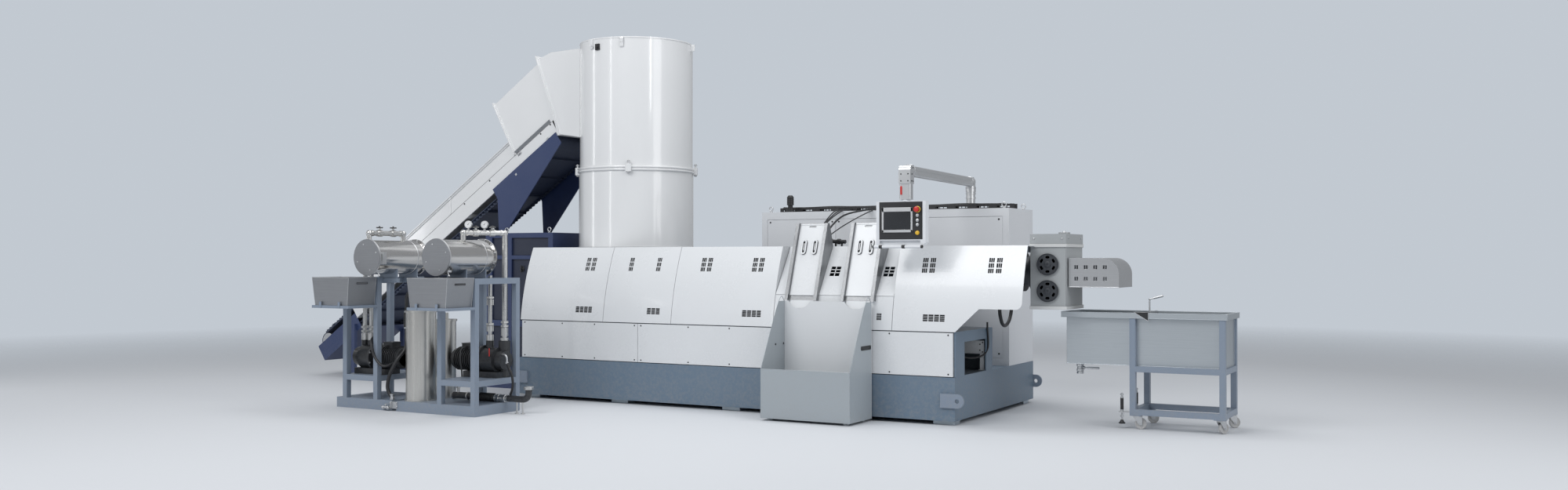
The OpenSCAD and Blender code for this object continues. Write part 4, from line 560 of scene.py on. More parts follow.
CHUTE_SLOPE = 0.222 / 0.663
CHUTE_LEAN = math.atan(CHUTE_SLOPE)
CHUTE_LOW, CHUTE_DEPTH, CHUTE_GAP = 0.982, 0.038, 0.0015
COVER_LOW, COVER_IN = 1.022, 0.0337
CHUTE_Y = (hood_front(CENTRE_STEP) - CHUTE_GAP - CHUTE_DEPTH / math.cos(CHUTE_LEAN)
           - (CENTRE_STEP - CHUTE_LOW) * CHUTE_SLOPE)
GRIP_UP, GRIP_SHIFTS = 0.4348, (-0.052, 0.052)
CHUTES = ((-1.402, "cover_left", "left"), (-0.868, "cover_right", "right"))


def on_cover(x, across, along, out):
    """A point on a chute's cover: across, up the slope from its lower end, and out of its front face."""
    y = CHUTE_Y + (COVER_LOW - CHUTE_LOW) * CHUTE_SLOPE + COVER_IN / math.cos(CHUTE_LEAN)
    lean_y, lean_z = math.sin(CHUTE_LEAN), math.cos(CHUTE_LEAN)
    slope, outwards = Vector((0, lean_y, lean_z)), Vector((0, -lean_z, lean_y))
    return Vector((x + across, y, COVER_LOW)) + slope * along + outwards * out


def grip_place(chute_x, shift):
    """The middle of a grip on a cover, turned to the cover's slope."""
    return Matrix.Translation(on_cover(chute_x, shift, GRIP_UP, 0.0)) @ Matrix.Rotation(-CHUTE_LEAN, 4, "X")


for chute_x, body, side in CHUTES:
    grips = Form()
    for shift in GRIP_SHIFTS:
        grips.turn = grip_place(chute_x, shift)
        # the black bottom inside the grip's rim
        for end_z in (-0.041, 0.041):
            grips.rod((0, -0.0062, end_z), (0, -0.0095, end_z), 0.0105, sides=20)
        grips.box((-0.0105, -0.0095, -0.041), (0.0105, -0.0062, 0.041))
    grips.finish("cover_grip_cups_" + side, black_plastic, body=body)
    bars = Form()
    for shift in GRIP_SHIFTS:
        low = on_cover(chute_x, shift, GRIP_UP - 0.03, 0.0165)
        high = on_cover(chute_x, shift, GRIP_UP + 0.03, 0.0165)
        bars.rod(low, high, 0.0045, sides=12)
        for end in (low, high):
            bars.ball(end, 0.0045, sides=12)
    bars.finish("cover_grip_bars_" + side, zinc_steel, body=body)
    hem = Form()
    for hem_up in (0.004, 0.64):
        hem.rod(on_cover(chute_x, -0.12, hem_up, 0.0075), on_cover(chute_x, 0.12, hem_up, 0.0075),
                0.0022, sides=10)
    hem.finish("cover_hems_" + side, white_gloss, body=body)

# Purge bin: folded edges and the edging of its hand slot

bin_edges = Form()
BIN = Places(x0=-1.546, x1=-0.724, front=-0.43, back=-0.02, low=0.02, front_top=0.425, top=0.979)
HAND_SLOT_Y, HAND_SLOT_Z = -0.13, 0.608
for x in (BIN.x0 + 0.002, BIN.x1 - 0.002):
    bin_edges.sweep([(x, BIN.front + 0.002, BIN.front_top), (x, -0.123, BIN.top),
                     (x, BIN.back - 0.002, BIN.top)], 0.0028, sides=8)
bin_edges.rod((BIN.x0, BIN.front + 0.002, BIN.front_top), (BIN.x1, BIN.front + 0.002, BIN.front_top),
              0.0032, sides=8)
for x in (BIN.x0 + 0.001, BIN.x1 - 0.001):
    bin_edges.rod((x, BIN.front + 0.001, BIN.low + 0.002), (x, BIN.front + 0.001, BIN.front_top),
                  0.0022, sides=8)
bin_edges.finish("bin_rolled_edges", bin_paint)

slot_edge = Form()
points = []
for step in range(33):
    angle = 2 * math.pi * step / 32
    reach = 0.077 if math.cos(angle) > 0 else -0.077
    points.append((BIN.x1 + 0.0005, HAND_SLOT_Y + reach + 0.0135 * math.cos(angle),
                   HAND_SLOT_Z + 0.0135 * math.sin(angle)))
slot_edge.sweep(points, 0.0028, sides=8, closed_ends=False)
slot_edge.finish("bin_hand_slot_edge", black_plastic)

# Control cabinet: panel screws, cable tray and beacon

CAB = Places(x0=-2.537, x1=-0.003, front=1.312, top=1.79)
CAB_MARGIN, SCREW_MARGIN, CAB_ROWS = 0.06, 0.035, (0.49, 0.9, 1.3, 1.69)
cab_clear = CAB.x1 - CAB.x0 - 2 * CAB_MARGIN
cab_splits = [CAB.x0 + CAB_MARGIN + share * cab_clear for share in (0.0, 0.31, 0.65, 1.0)]
cab_screws = [(x, CAB.front, z) for left, right in zip(cab_splits, cab_splits[1:])
              for x in (left + SCREW_MARGIN, right - SCREW_MARGIN) for z in CAB_ROWS]
screw_heads("cabinet_panel_screws", cab_screws, 0.009, 0.005, FRONT)

FINGERS, FINGER_PITCH = 66, 0.0362
tray_rungs = Form()
for index in range(FINGERS):
    x = CAB.x0 + 0.13 + index * FINGER_PITCH
    for y in (1.499, 1.589):
        tray_rungs.box((x, y, CAB.top + 0.012), (x + 0.006, y + 0.002, CAB.top + 0.049))
tray_rungs.finish("cable_tray_fingers", black_plastic, slot="tray_steel", smooth=False)

tray_cables = Form()
for lane, (y, radius) in enumerate(((1.515, 0.009), (1.534, 0.012), (1.556, 0.01), (1.574, 0.008))):
    route = []
    for step in range(13):
        x = CAB.x0 + 0.12 + step * 0.19
        lift = 0.024 + radius + 0.012 * abs(math.sin(step * 0.9 + lane * 2.1))
        route.append((x, y + 0.003 * math.sin(step * 1.7 + lane), CAB.top + lift))
    tray_cables.sweep(route, radius, sides=8)
tray_cables.finish("cables_in_tray", black_plastic)

beacon_rings = Form()
BEACON = Vector((-2.269, 1.402, CAB.top))
beacon_rings.lathe([(0.0345, 0.002), (0.0385, 0.004), (0.0385, 0.014), (0.0345, 0.017)], BEACON, UP, 32)
for z in (0.074, 0.098, 0.122, 0.142):
    beacon_rings.lathe(collar(0.0325, 0.035, 0.007, 0.002), BEACON + up(z), UP, 32)
beacon_rings.finish("beacon_rings", black_paint)

# Control arm and pendant

ARM_Z = 2.05
COLUMN = Vector((-0.495, 1.66, 0))
PENDANT = Vector((-0.368, -0.12, 0))
arm_way = (PENDANT - COLUMN).normalized()
arm_side = Vector((-arm_way.y, arm_way.x, 0))
drop_top = PENDANT + up(ARM_Z)

arm_rings = Form()
for along, radius in ((0.052, 0.0495), (0.066, 0.0465)):
    arm_rings.lathe(collar(radius * 0.9, radius, 0.011, 0.002),
                    COLUMN + arm_way * along + up(ARM_Z), arm_way, 40)
arm_rings.lathe(collar(0.05, 0.0545, 0.012, 0.002), drop_top - arm_way * 0.09, arm_way, 40)
arm_rings.lathe(collar(0.0435, 0.0485, 0.016, 0.003), COLUMN + up(1.985), UP, 40)
arm_rings.finish("arm_clamp_rings", zinc_steel, body="arm")

arm_bolts = Form()
SOCKET = [(0.0055, -0.0006), (0.0055, 0.002), (0.005, 0.0036), (0.0028, 0.0036), (0.0026, 0.002)]
for side in (-1, 1):
    for along, z in ((0.004, -0.03), (-0.02, -0.086), (0.016, -0.086), (-0.018, 0.022)):
        arm_bolts.lathe(SOCKET, drop_top + arm_way * along + arm_side * (0.05 * side) + up(z),
                        arm_side * side, 12)
for side, z in ((-0.03, -0.03), (0.03, -0.03), (-0.03, -0.086), (0.03, -0.086)):
    arm_bolts.lathe(SOCKET, drop_top + arm_way * 0.045 + arm_side * side + up(z), arm_way, 12)
arm_bolts.finish("arm_head_screws", black_paint, body="arm", slot="dark_iron")

red_tab = Form()
tab_at = PENDANT + arm_way * 0.0372 - arm_side * 0.03 + up(1.888)
red_tab.tilted_box(tab_at, (0.008, 0.016, 0.07), arm_way.to_track_quat("X", "Z"))
red_tab.finish("arm_release_tab", red_plastic, body="arm", bevel=0.002)

FACE = Places(x0=-0.592, top=1.796, front=-0.152)
screen = Form()
screen.box((FACE.x0 + 0.0405, FACE.front - 0.003, FACE.top - 0.2245),
           (FACE.x0 + 0.2775, FACE.front - 0.0005, FACE.top - 0.0785))
screen.finish("pendant_screen", screen_glass, body="pendant", smooth=False)
bezel = Form()
x0, x1, z0, z1 = FACE.x0 + 0.0235, FACE.x0 + 0.2945, FACE.top - 0.2455, FACE.top - 0.0445
near, far = FACE.front - 0.0065, FACE.front - 0.0005
for left, low, right, high in ((x0, z0, x0 + 0.0165, z1), (x1 - 0.0165, z0, x1, z1),
                               (x0, z0, x1, z0 + 0.0205), (x0, z1 - 0.0335, x1, z1)):
    bezel.box((left, near, low), (right, far, high))
bezel.finish("pendant_bezel", arm_alu, body="pendant", bevel=0.0012)


def on_face(drop):
    """A place in the column of knobs and keys, down from the pendant's top edge."""
    return (FACE.x0 + 0.335, FACE.front, FACE.top - drop)


turned("emergency_stop_collar", yellow_plastic, [(0.0265, 0), (0.0265, 0.004), (0.0235, 0.006)],
       on_face(0.062), FRONT, 32, "pendant")
turned("emergency_stop_head", red_plastic, [(0.0145, 0.004), (0.0145, 0.022), (0.0222, 0.0245),
                                            (0.0228, 0.028), (0.0218, 0.0325), (0.017, 0.035),
                                            (0.001, 0.0357)], on_face(0.062), FRONT, 32, "pendant")
keys = Form()
for drop in (0.11, 0.15, 0.185):
    keys.lathe([(0.0135, 0), (0.0135, 0.003), (0.0115, 0.004), (0.0112, 0.01), (0.0085, 0.0115),
                (0.001, 0.0117)], on_face(drop), FRONT, 24)
keys.finish("pendant_push_buttons", zinc_steel, body="pendant")
turned("pendant_lamp_cap", yellow_plastic, [(0.0175, 0), (0.0175, 0.003), (0.0158, 0.004), (0.0158, 0.012),
                                            (0.0115, 0.0145), (0.001, 0.015)], on_face(0.25),
       FRONT, 28, "pendant")
handle_caps = Form()
for x, way in ((-0.644, -1), (-0.21, 1)):
    handle_caps.lathe([(0.0132, -0.012), (0.0132, 0.002), (0.009, 0.005), (0.001, 0.0055)],
                      (x, -0.165, 1.435), (way, 0, 0), 24)
for x in (-0.573, -0.373):
    handle_caps.lathe([(0.014, -0.014), (0.0148, -0.012), (0.0148, 0.012), (0.014, 0.014)],
                      (x, -0.165, 1.435), RIGHT, 28)
handle_caps.finish("pendant_handle_clamps", black_plastic, body="pendant")

# Die-face cutter: strips, rotor covers, bolts, lid cap and guard

CUT = Places(x0=0.511, x1=0.801, front=0.35, back=0.812)
strips = Form()
for low, high in ((0.9325, 0.959), (1.4315, 1.457)):
    strips.box((CUT.x0 - 0.0056, CUT.front - 0.0086, low), (CUT.x1 + 0.0086, CUT.back + 0.0086, high))
strips.finish("cutter_strips", strip_paint, bevel=0.002)
rotor = Form()
for z in (1.2935, 1.0805):
    centre = Vector((0.656, CUT.front - 0.016, z))
    rotor.lathe([(0.0865, -0.002), (0.088, 0.001), (0.088, 0.0035), (0.084, 0.0052), (0.0815, 0.0008),
                 (0.081, -0.002)], centre, FRONT, 64)
    rotor.lathe([(0.026, -0.001), (0.026, 0.004), (0.022, 0.006), (0.008, 0.006), (0.007, 0.002)],
                centre, FRONT, 32)
    for spot in round_spots(centre, 0.075, range(0, 360, 30), RIGHT, UP):
        rotor.lathe([(0.0032, -0.001), (0.0032, 0.0018), (0.0016, 0.0026)], spot, FRONT, 10)
rotor.finish("rotor_cover_rims", dark_disc)
hex_bolts("cutter_bolts", [(CUT.x1 + 0.0035, y, 1.505) for y in (0.41, 0.75)], 0.012, 0.007, RIGHT)
hex_bolts("cutter_lid_bolts", [(CUT.x0 + 0.03 + 0.23 * i, CUT.front - 0.004, 1.5) for i in (0, 1)],
          0.012, 0.007, FRONT)
turned("cutter_lid_cap", zinc_steel, [(0.0455, -0.002), (0.0475, 0.001), (0.0475, 0.005), (0.043, 0.0075),
                                      (0.014, 0.0075), (0.012, 0.016), (0.009, 0.018)],
       (CUT.x1 - 0.09, CUT.back - 0.2, 1.546), UP, 40)
guard_hem = Form()
for y in (0.3925, 0.8015):
    guard_hem.rod((0.812, y, 1.1145), (1.2105, y, 1.1145), 0.003, sides=8)
guard_hem.rod((1.2112, 0.3925, 1.1145), (1.2112, 0.8015, 1.1145), 0.003, sides=8)
guard_hem.finish("guard_hem", guard_steel)
guard_slats = Form()
for index in range(4):
    for row in (0, 1):
        x = 0.873 + index * 0.076
        z = 1.18 + row * 0.092
        guard_slats.box((x - 0.0022, 0.3925, z - 0.0165), (x + 0.0022, 0.3965, z + 0.0165))
guard_slats.finish("guard_slats", guard_steel, smooth=False)

# Water tank: rim, seams, drain and gate

RIM_OUT = 0.05
TANK = Places(x0=0.75, x1=1.975, y0=0.546, y1=0.964, top=0.913, low=0.495)
rim = Form()
left, right, near, far = TANK.x0 - 0.03, TANK.x1 + 0.03, TANK.y0 - RIM_OUT, TANK.y1 + RIM_OUT
corners = [(left, near), (right, near), (right, far), (left, far)]
for start, end in zip(corners, corners[1:] + corners[:1]):
    for z in (TANK.top - 0.0008, TANK.top - 0.0412):
        rim.rod((*start, z), (*end, z), 0.0024, sides=10)
for corner in corners:
    rim.rod((*corner, TANK.top - 0.041), (*corner, TANK.top - 0.001), 0.0022, sides=10)
rim.finish("tank_rim_folds", tank_steel)
seams = Form()
for x in (TANK.x0 + 0.001, TANK.x1 - 0.001):
    for y in (TANK.y0 + 0.001, TANK.y1 - 0.001):
        seams.rod((x, y, TANK.low + 0.001), (x, y, TANK.top - 0.044), 0.0024, sides=8)
for y in (TANK.y0 + 0.001, TANK.y1 - 0.001):
    seams.rod((TANK.x0, y, TANK.low + 0.0015), (TANK.x1, y, TANK.low + 0.0015), 0.0024, sides=8)
seams.finish("tank_weld_seams", tank_steel)

drain = Form()
dx, dy, dz = TANK.x0 + 0.065, TANK.y0 + 0.155, TANK.low - 0.044
drain.lathe([(0.0215, 0), (0.03, 0.002), (0.03, 0.02), (0.0245, 0.024), (0.0245, 0.036), (0.03, 0.04),
             (0.03, 0.06), (0.0215, 0.062)], (dx, dy, TANK.low - 0.074), UP, 6)
drain.lathe([(0.009, 0), (0.013, 0.002), (0.013, 0.01), (0.008, 0.012)], (dx + 0.028, dy, dz), RIGHT, 16)
drain.finish("drain_valve_body", zinc_steel)
grip = Form()
grip.rod((dx + 0.06, dy, dz), (dx + 0.148, dy, dz), 0.0085, 0.01, sides=16)
grip.ball((dx + 0.148, dy, dz), 0.01, sides=16)
grip.finish("drain_lever_grip", zinc_steel)
crank = Form()
tilt = math.radians(75)
start = Vector((TANK.x0 + 0.627, TANK.y0 + 0.15, TANK.top + 0.104))
way = Vector((math.sin(tilt), 0, math.cos(tilt)))
crank.rod(start + way * 0.03, start + way * 0.102, 0.008, 0.0098, sides=16)
crank.ball(start + way * 0.102, 0.0098, sides=16)
crank.finish("gate_crank_grip", zinc_steel)
flap = Form()
rim_face = TANK.y0 - RIM_OUT
flap.prism([(1.306, 0.9175), (1.413, 0.9175), (1.413, 0.852)], rim_face - 0.0045, rim_face - 0.002)
flap.box((1.33, rim_face - 0.0045, 0.9145), (1.413, TANK.y0 + 0.035, 0.917))
flap.finish("gate_flap", black_paint, slot="dark_iron", smooth=False)
flap_edge = Form()
flap_edge.rod((1.306, rim_face - 0.0032, 0.9175), (1.413, rim_face - 0.0032, 0.852), 0.0022, sides=10)
flap_edge.rod((1.413, rim_face - 0.0032, 0.852), (1.413, rim_face - 0.0032, 0.9175), 0.0022, sides=10)
flap_edge.finish("gate_flap_edge", zinc_steel)

# Vacuum skids: fastenings, gauges, unions, trays, hoses, the lower suction line and the pump sets

SKID_DECK = 0.09
# the right skid and its tank come first
SKID_XS, TANK_XS = (-4.18, -5.32), (-4.028, -4.84)
TANK_Z, TANK_FRONT = 1.35, -1.605
BRIDGE_Z, MOTOR_Z = 1.562, 0.45
BRIDGES = (((-4.86, -1.557), (-4.84, -1.175)), ((-4.028, -1.275), (-3.828, -0.97)))


def make_tank_fastenings():
    """Bolts of the front discs, their clamp bands and the bolted flanges at the rear."""
    discs, flanges, bands = [], [], Form()
    for axis_x in TANK_XS:
        discs += round_spots((axis_x, TANK_FRONT, TANK_Z), 0.118, (20, 110, 200, 290), RIGHT, UP)
        rear = (axis_x, TANK_FRONT + 0.565, TANK_Z)
        flanges += round_spots(rear, 0.156, range(15, 360, 30), RIGHT, UP)
        bands.lathe([(0.1575, -0.0065), (0.1605, -0.005), (0.1605, 0.005), (0.1575, 0.0065)],
                    (axis_x, TANK_FRONT + 0.012, TANK_Z), FRONT, 64)
        bands.lathe([(0.1495, -0.004), (0.1525, -0.001), (0.1525, 0.003), (0.1495, 0.006)],
                    (axis_x, TANK_FRONT + 0.47, TANK_Z), FRONT, 64)
    screw_heads("disc_cover_screws", discs, 0.0065, 0.004, FRONT, dark=False)
    hex_bolts("rear_flange_bolts", flanges, 0.013, 0.008, FRONT)
    bands.finish("tank_clamp_bands", zinc_steel)


def make_tank_latches():
    """A hinge bracket on the left tank's side, and a toggle under each disc."""
    form = Form()
    x = TANK_XS[1] + 0.1495
    form.box((x - 0.01, -1.585, TANK_Z - 0.06), (x + 0.005, -1.52, TANK_Z + 0.045))
    form.box((x + 0.004, -1.578, TANK_Z - 0.045), (x + 0.02, -1.566, TANK_Z + 0.03))
    form.rod((x + 0.012, -1.572, TANK_Z - 0.052), (x + 0.012, -1.572, TANK_Z + 0.038), 0.006, sides=16)
    for axis_x in TANK_XS:
        side = axis_x + 0.112
        form.box((side - 0.012, -1.588, TANK_Z - 0.128), (side + 0.012, -1.545, TANK_Z - 0.108))
        form.rod((side, -1.583, TANK_Z - 0.122), (side + 0.01, -1.575, TANK_Z - 0.156), 0.0055, sides=12)
        form.ball((side + 0.01, -1.575, TANK_Z - 0.158), 0.01, sides=16)
    form.finish("tank_latches", zinc_steel, bevel=0.001)


def make_gauges():
    """Two round vacuum gauges on stems over the right bridge, and the rims of the valves' handwheels."""
    start, end = (Vector((*point, BRIDGE_Z)) for point in BRIDGES[1])
    run = (end - start).normalized()
    facing = Vector((0.28, -0.96, 0.0)).normalized()
    cases, dials, needles = Form(), Form(), Form()
    for along in (0.045, 0.186):
        foot = start + run * along + up(0.02)
        centre = foot + up(0.052)
        cases.rod(foot, centre - up(0.03), 0.006, sides=12)
        cases.rod(foot, foot + up(0.012), 0.011, sides=6)
        cases.lathe([(0.03, -0.011), (0.034, -0.009), (0.034, 0.009), (0.0325, 0.011), (0.03, 0.011),
                     (0.0295, 0.0085), (0.001, 0.0085)], centre, facing, 36)
        dials.rod(centre + facing * 0.0084, centre + facing * 0.0092, 0.0292, sides=36)
        needle_way = Vector((-facing.y, facing.x, 0)) * 0.6 + up(0.8)
        needles.rod(centre + facing * 0.0098 - needle_way * 0.006,
                    centre + facing * 0.0098 + needle_way * 0.02, 0.0011, sides=6)
        needles.rod(centre + facing * 0.009, centre + facing * 0.0112, 0.0032, sides=12)
    cases.finish("gauge_cases", zinc_steel)
    dials.finish("gauge_dials", dial_white)
    needles.finish("gauge_needles", black_paint)
    rims = Form()
    for first, last in BRIDGES:
        first, last = Vector((*first, BRIDGE_Z)), Vector((*last, BRIDGE_Z))
        for part in (0.3, 0.7):
            hub = first.lerp(last, part)
            rims.lathe([(0.0245, 0.0445), (0.029, 0.0465), (0.03, 0.05), (0.029, 0.054), (0.0245, 0.056)],
                       hub, UP, 32)
            rims.lathe([(0.0085, 0.0555), (0.0085, 0.06), (0.006, 0.064), (0.001, 0.0645)], hub, UP, 6)
    rims.finish("handwheel_rims", black_paint)


def make_pipe_unions():
    """Hexagonal unions and weld rings on the risers and the left skid's pipes."""
    form = Form()
    hexagon = collar(0.029, 0.0345, 0.022, 0.003)
    for x, y, heights in ((-3.828, -0.97, (0.735, 0.77)), (-3.95, -1.02, (0.752, 0.985)),
                          (-5.234, -1.25, (0.668, 0.705)), (-5.156, -1.25, (0.668, 0.705))):
        for z in heights:
            form.lathe(hexagon, (x, y, z), UP, 6)
    ring = collar(0.0215, 0.0245, 0.005, 0.0015)
    for z in (0.82, 1.1, 1.46):
        form.lathe(ring, (-3.828, -0.97, z), UP, 32)
    form.finish("pipe_unions", pipe_steel)


def make_tray_edges():
    """Folded rims, corner seams and hand-slot edges of the two catch trays."""
    form, slots = Form(), Form()
    y0, y1, low, top = -1.759, -1.442, 0.929, 1.1735
    for frame_x in SKID_XS:
        x0, x1 = frame_x - 0.022, frame_x + 0.428
        rim = [(x0, y0, top), (x1, y0, top), (x1, y1, top), (x0, y1, top)]
        for start, end in zip(rim, rim[1:] + rim[:1]):
            form.rod(start, end, 0.003, sides=8)
        for x, foot_x in ((x0, x0 + 0.028), (x1, x1 - 0.028)):
            form.rod((foot_x, y0 + 0.012, low), (x, y0, top), 0.0022, sides=8)
            form.rod((foot_x, y1, low), (x, y1, top), 0.0022, sides=8)
        wall = x1 - 0.005
        middle = (y0 + y1) / 2
        for z in (top - 0.0565, top - 0.043):
            slots.rod((wall, middle - 0.061, z), (wall, middle + 0.061, z), 0.002, sides=8)
        for y in (middle - 0.061, middle + 0.061):
            slots.rod((wall, y, top - 0.0565), (wall, y, top - 0.043), 0.002, sides=8)
    form.finish("tray_rims", zinc_steel)
    slots.finish("tray_slot_edges", black_plastic)


def ribbed(form, start, end, radius, rib, pitch):
    """A run of corrugated hose between two points."""
    start, end = Vector(start), Vector(end)
    way = end - start
    count = int(way.length / pitch)
    profile = []
    for index in range(count):
        base = way.length * index / count
        step = way.length / count
        profile += [(radius, base), (radius + rib, base + step * 0.3), (radius + rib, base + step * 0.6),
                    (radius, base + step * 0.9)]
    profile.append((radius, way.length))
    form.lathe(profile, start, way, 28)


def make_skid_hoses():
    """Black hoses fixed between the separators, the motors and the floor valve."""
    drop = Form()
    drop.sweep([(-4.694, -1.276, 0.575), (-4.698, -1.3, 0.52), (-4.712, -1.362, 0.45),
                (-4.745, -1.392, 0.37), (-4.79, -1.392, 0.28), (-4.805, -1.39, 0.2), (-4.785, -1.388, 0.145),
                (-4.756, -1.386, 0.118)], 0.016, sides=16)
    drop.finish("separator_drain_hose", black_plastic)
    crossing = Form()
    crossing.sweep([(-4.985, -1.33, 0.66), (-4.968, -1.42, 0.62), (-4.94, -1.448, 0.56),
                    (-4.903, -1.449, 0.47), (-4.84, -1.448, 0.408), (-4.79, -1.43, 0.39),
                    (-4.765, -1.352, 0.412)], 0.0125, sides=14)
    crossing.sweep([(-3.686, -1.1, 0.445), (-3.668, -1.1, 0.4), (-3.638, -1.098, 0.345),
                    (-3.63, -1.09, 0.275), (-3.655, -1.07, 0.205), (-3.69, -1.052, 0.16)], 0.0105, sides=12)
    crossing.finish("motor_hoses", black_plastic)
    fittings = Form()
    fittings.lathe([(0.017, 0.0), (0.024, 0.002), (0.024, 0.018), (0.019, 0.022), (0.019, 0.04),
                    (0.022, 0.043), (0.022, 0.052), (0.016, 0.055)], (-4.752, -1.385, SKID_DECK),
                   (-0.08, 0, 1), 6)
    for z in (0.714, 0.854):
        fittings.lathe(collar(0.017, 0.0215, 0.019, 0.003), (-4.694, -1.276, z), UP, 6)
    fittings.box((-4.68, -1.284, 0.785), (-4.655, -1.268, 0.8))
    fittings.box((-4.66, -1.286, 0.7), (-4.652, -1.266, 0.8))
    fittings.sweep([(-3.775, -1.065, 0.502), (-3.745, -1.085, 0.508), (-3.71, -1.098, 0.505),
                    (-3.69, -1.1, 0.485), (-3.686, -1.1, 0.435)], 0.008, sides=14)
    fittings.lathe(collar(0.01, 0.014, 0.018, 0.002), (-3.686, -1.1, 0.43), UP, 6)
    fittings.finish("hose_fittings", zinc_steel)


def make_floor_link():
    """Tie plate with bolts and a small drain valve where the two skids meet."""
    form = Form()
    form.box((-4.728, -1.436, 0.022), (-4.642, -1.4305, 0.084))
    form.box((-4.712, -1.452, 0.024), (-4.704, -1.43, 0.08))
    form.rod((-4.81, -1.452, 0.03), (-4.716, -1.452, 0.03), 0.0095, sides=16)
    for x in (-4.8, -4.746):
        form.lathe(collar(0.011, 0.017, 0.022, 0.002), (x, -1.452, 0.03), RIGHT, 6)
    form.rod((-4.765, -1.452, 0.03), (-4.765, -1.452, 0.058), 0.006, sides=12)
    form.tilted_box((-4.75, -1.452, 0.06), (0.052, 0.01, 0.004),
                    Vector((1, 0, 0.15)).to_track_quat("X", "Z"))
    form.finish("skid_tie_plate", zinc_steel, bevel=0.0008)
    hex_bolts("skid_tie_bolts", [(x, -1.436, z) for x in (-4.72, -4.652) for z in (0.036, 0.07)],
              0.013, 0.008, FRONT)


def make_lower_suction_line():
    """The line low on the right skid: stub, ribbed hose, union and a bend that ends at a flange."""
    y, z = -1.05, 0.1255
    dark, ribs, bright = Form(), Form(), Form()
    dark.rod((-4.35, y, z), (-4.0, y, z), 0.029, sides=32)
    ribbed(ribs, (-4.03, y, z), (-3.865, y, z), 0.031, 0.007, 0.014)
    for x in (-4.352, -4.18, -4.04, -3.858):
        bright.lathe(collar(0.03, 0.035, 0.014, 0.002), (x, y, z), RIGHT, 32)
    bright.rod((-3.85, y, z), (-3.715, y, z), 0.03, sides=32)
    for x in (-3.835, -3.765):
        bright.lathe(collar(0.0305, 0.0375, 0.029, 0.003), (x, y, z), RIGHT, 6)
    for x in (-4.29, -4.12):
        bright.rod((x, y, z + 0.026), (x, y, z + 0.075), 0.012, sides=20)
        bright.lathe(collar(0.013, 0.018, 0.016, 0.002), (x, y, z + 0.062), UP, 6)
    dark.sweep([(-3.722, y, z), (-3.64, y, z), (-3.57, y, z), (-3.522, y, z + 0.006), (-3.492, y, z + 0.036),
                (-3.486, y, z + 0.09)], 0.028, sides=28)
    bright.lathe([(0.0285, 0), (0.044, 0.001), (0.044, 0.012), (0.0285, 0.013), (0.027, 0.013)],
                 (-3.486, y, z + 0.088), UP, 32)
    bright.lathe([(0.044, 0), (0.044, 0.01), (0.04, 0.012), (0.001, 0.012)],
                 (-3.486, y, z + 0.1015), UP, 32)
    for x in (-3.618, -3.552):
        bright.rod((x, y, 0.0), (x, y, z - 0.024), 0.008, sides=12)
        bright.lathe([(0.02, 0), (0.02, 0.004), (0.009, 0.008)], (x, y, 0.0), UP, 20)
    dark.finish("lower_suction_pipe", black_paint)
    ribs.finish("ribbed_suction_hose", black_plastic)
    bright.finish("lower_line_fittings", pipe_steel)


def make_pump_details():
    """Fan grilles, junction box lids, flange bolts and red caps of the two pump sets."""
    grilles, lids = Form(), Form()
    lid_screws = []
    for side, origin, y, way in (("right", -4.3, -1.02, 1), ("left", -4.77, -1.25, -1)):
        end = origin - way * 0.0265
        for radius in (0.022, 0.038, 0.054, 0.07, 0.084):
            grilles.lathe([(radius, -0.001), (radius + 0.0025, 0.001), (radius + 0.0025, 0.003),
                           (radius, 0.005)], (end, y, MOTOR_Z), (-way, 0, 0), 40)
        for turn in range(4):
            angle = math.radians(45 * turn)
            reach = Vector((0, math.cos(angle), math.sin(angle))) * 0.084
            hub = Vector((end - way * 0.002, y, MOTOR_Z))
            grilles.rod(hub - reach, hub + reach, 0.0016, sides=6)
        x0, x1 = sorted((origin + way * 0.066, origin + way * 0.184))
        lids.box((x0, y - 0.054, 0.5862), (x1, y + 0.054, 0.5922))
        x = (x0 + x1) / 2
        lids.rod((x, y - 0.05, 0.555), (x, y - 0.078, 0.555), 0.012, sides=20)
        lids.sweep([(x, y - 0.076, 0.555), (x, y - 0.12, 0.54), (x + way * 0.01, y - 0.14, 0.47),
                    (x + way * 0.02, y - 0.135, 0.36), (x + way * 0.02, y - 0.13, 0.304)], 0.007)
        for x in (x0 + 0.009, x1 - 0.009):
            for shift in (-0.045, 0.045):
                lid_screws.append((x, y + shift, 0.5922))
        turns = [22.5 + 45 * index for index in range(8)]
        hex_bolts("pump_flange_bolts_" + side, round_spots((origin + way * 0.286, y, MOTOR_Z), 0.119, turns,
                                                           BACK, UP), 0.012, 0.007, (-way, 0, 0))
    grilles.finish("fan_grilles", black_paint)
    lids.finish("junction_box_lids", black_paint, bevel=0.0008)
    screw_heads("junction_box_screws", lid_screws, 0.0035, 0.002, UP, dark=False)
    red = Form()
    red.lathe([(0.012, 0), (0.014, 0.002), (0.014, 0.016), (0.01, 0.02)], (-3.985, -1.3, 1.186),
              (0, -0.4, 1), 20)
    red.box((-3.866, -1.1335, 0.49), (-3.856, -1.1275, 0.56))
    red.finish("red_caps", red_plastic, bevel=0.001)


make_tank_fastenings()
make_tank_latches()
make_gauges()
make_pipe_unions()
make_tray_edges()
make_skid_hoses()
make_floor_link()
make_lower_suction_line()
make_pump_details()

# Feed conveyor: lips, seams, clamps and the belt's corrugated side walls

SLOPE = math.radians(34)
CONVEYOR = Places(front=0.635, back=1.335, cover_l=2.85, side_h=0.328)
slope_frame = Matrix.Translation((-5.194, 0, 2.537)) @ Matrix.Rotation(-SLOPE, 4, "Y")


CHEEKS = ((CONVEYOR.front, -1), (CONVEYOR.back, 1))
COVER_TAIL = -CONVEYOR.cover_l


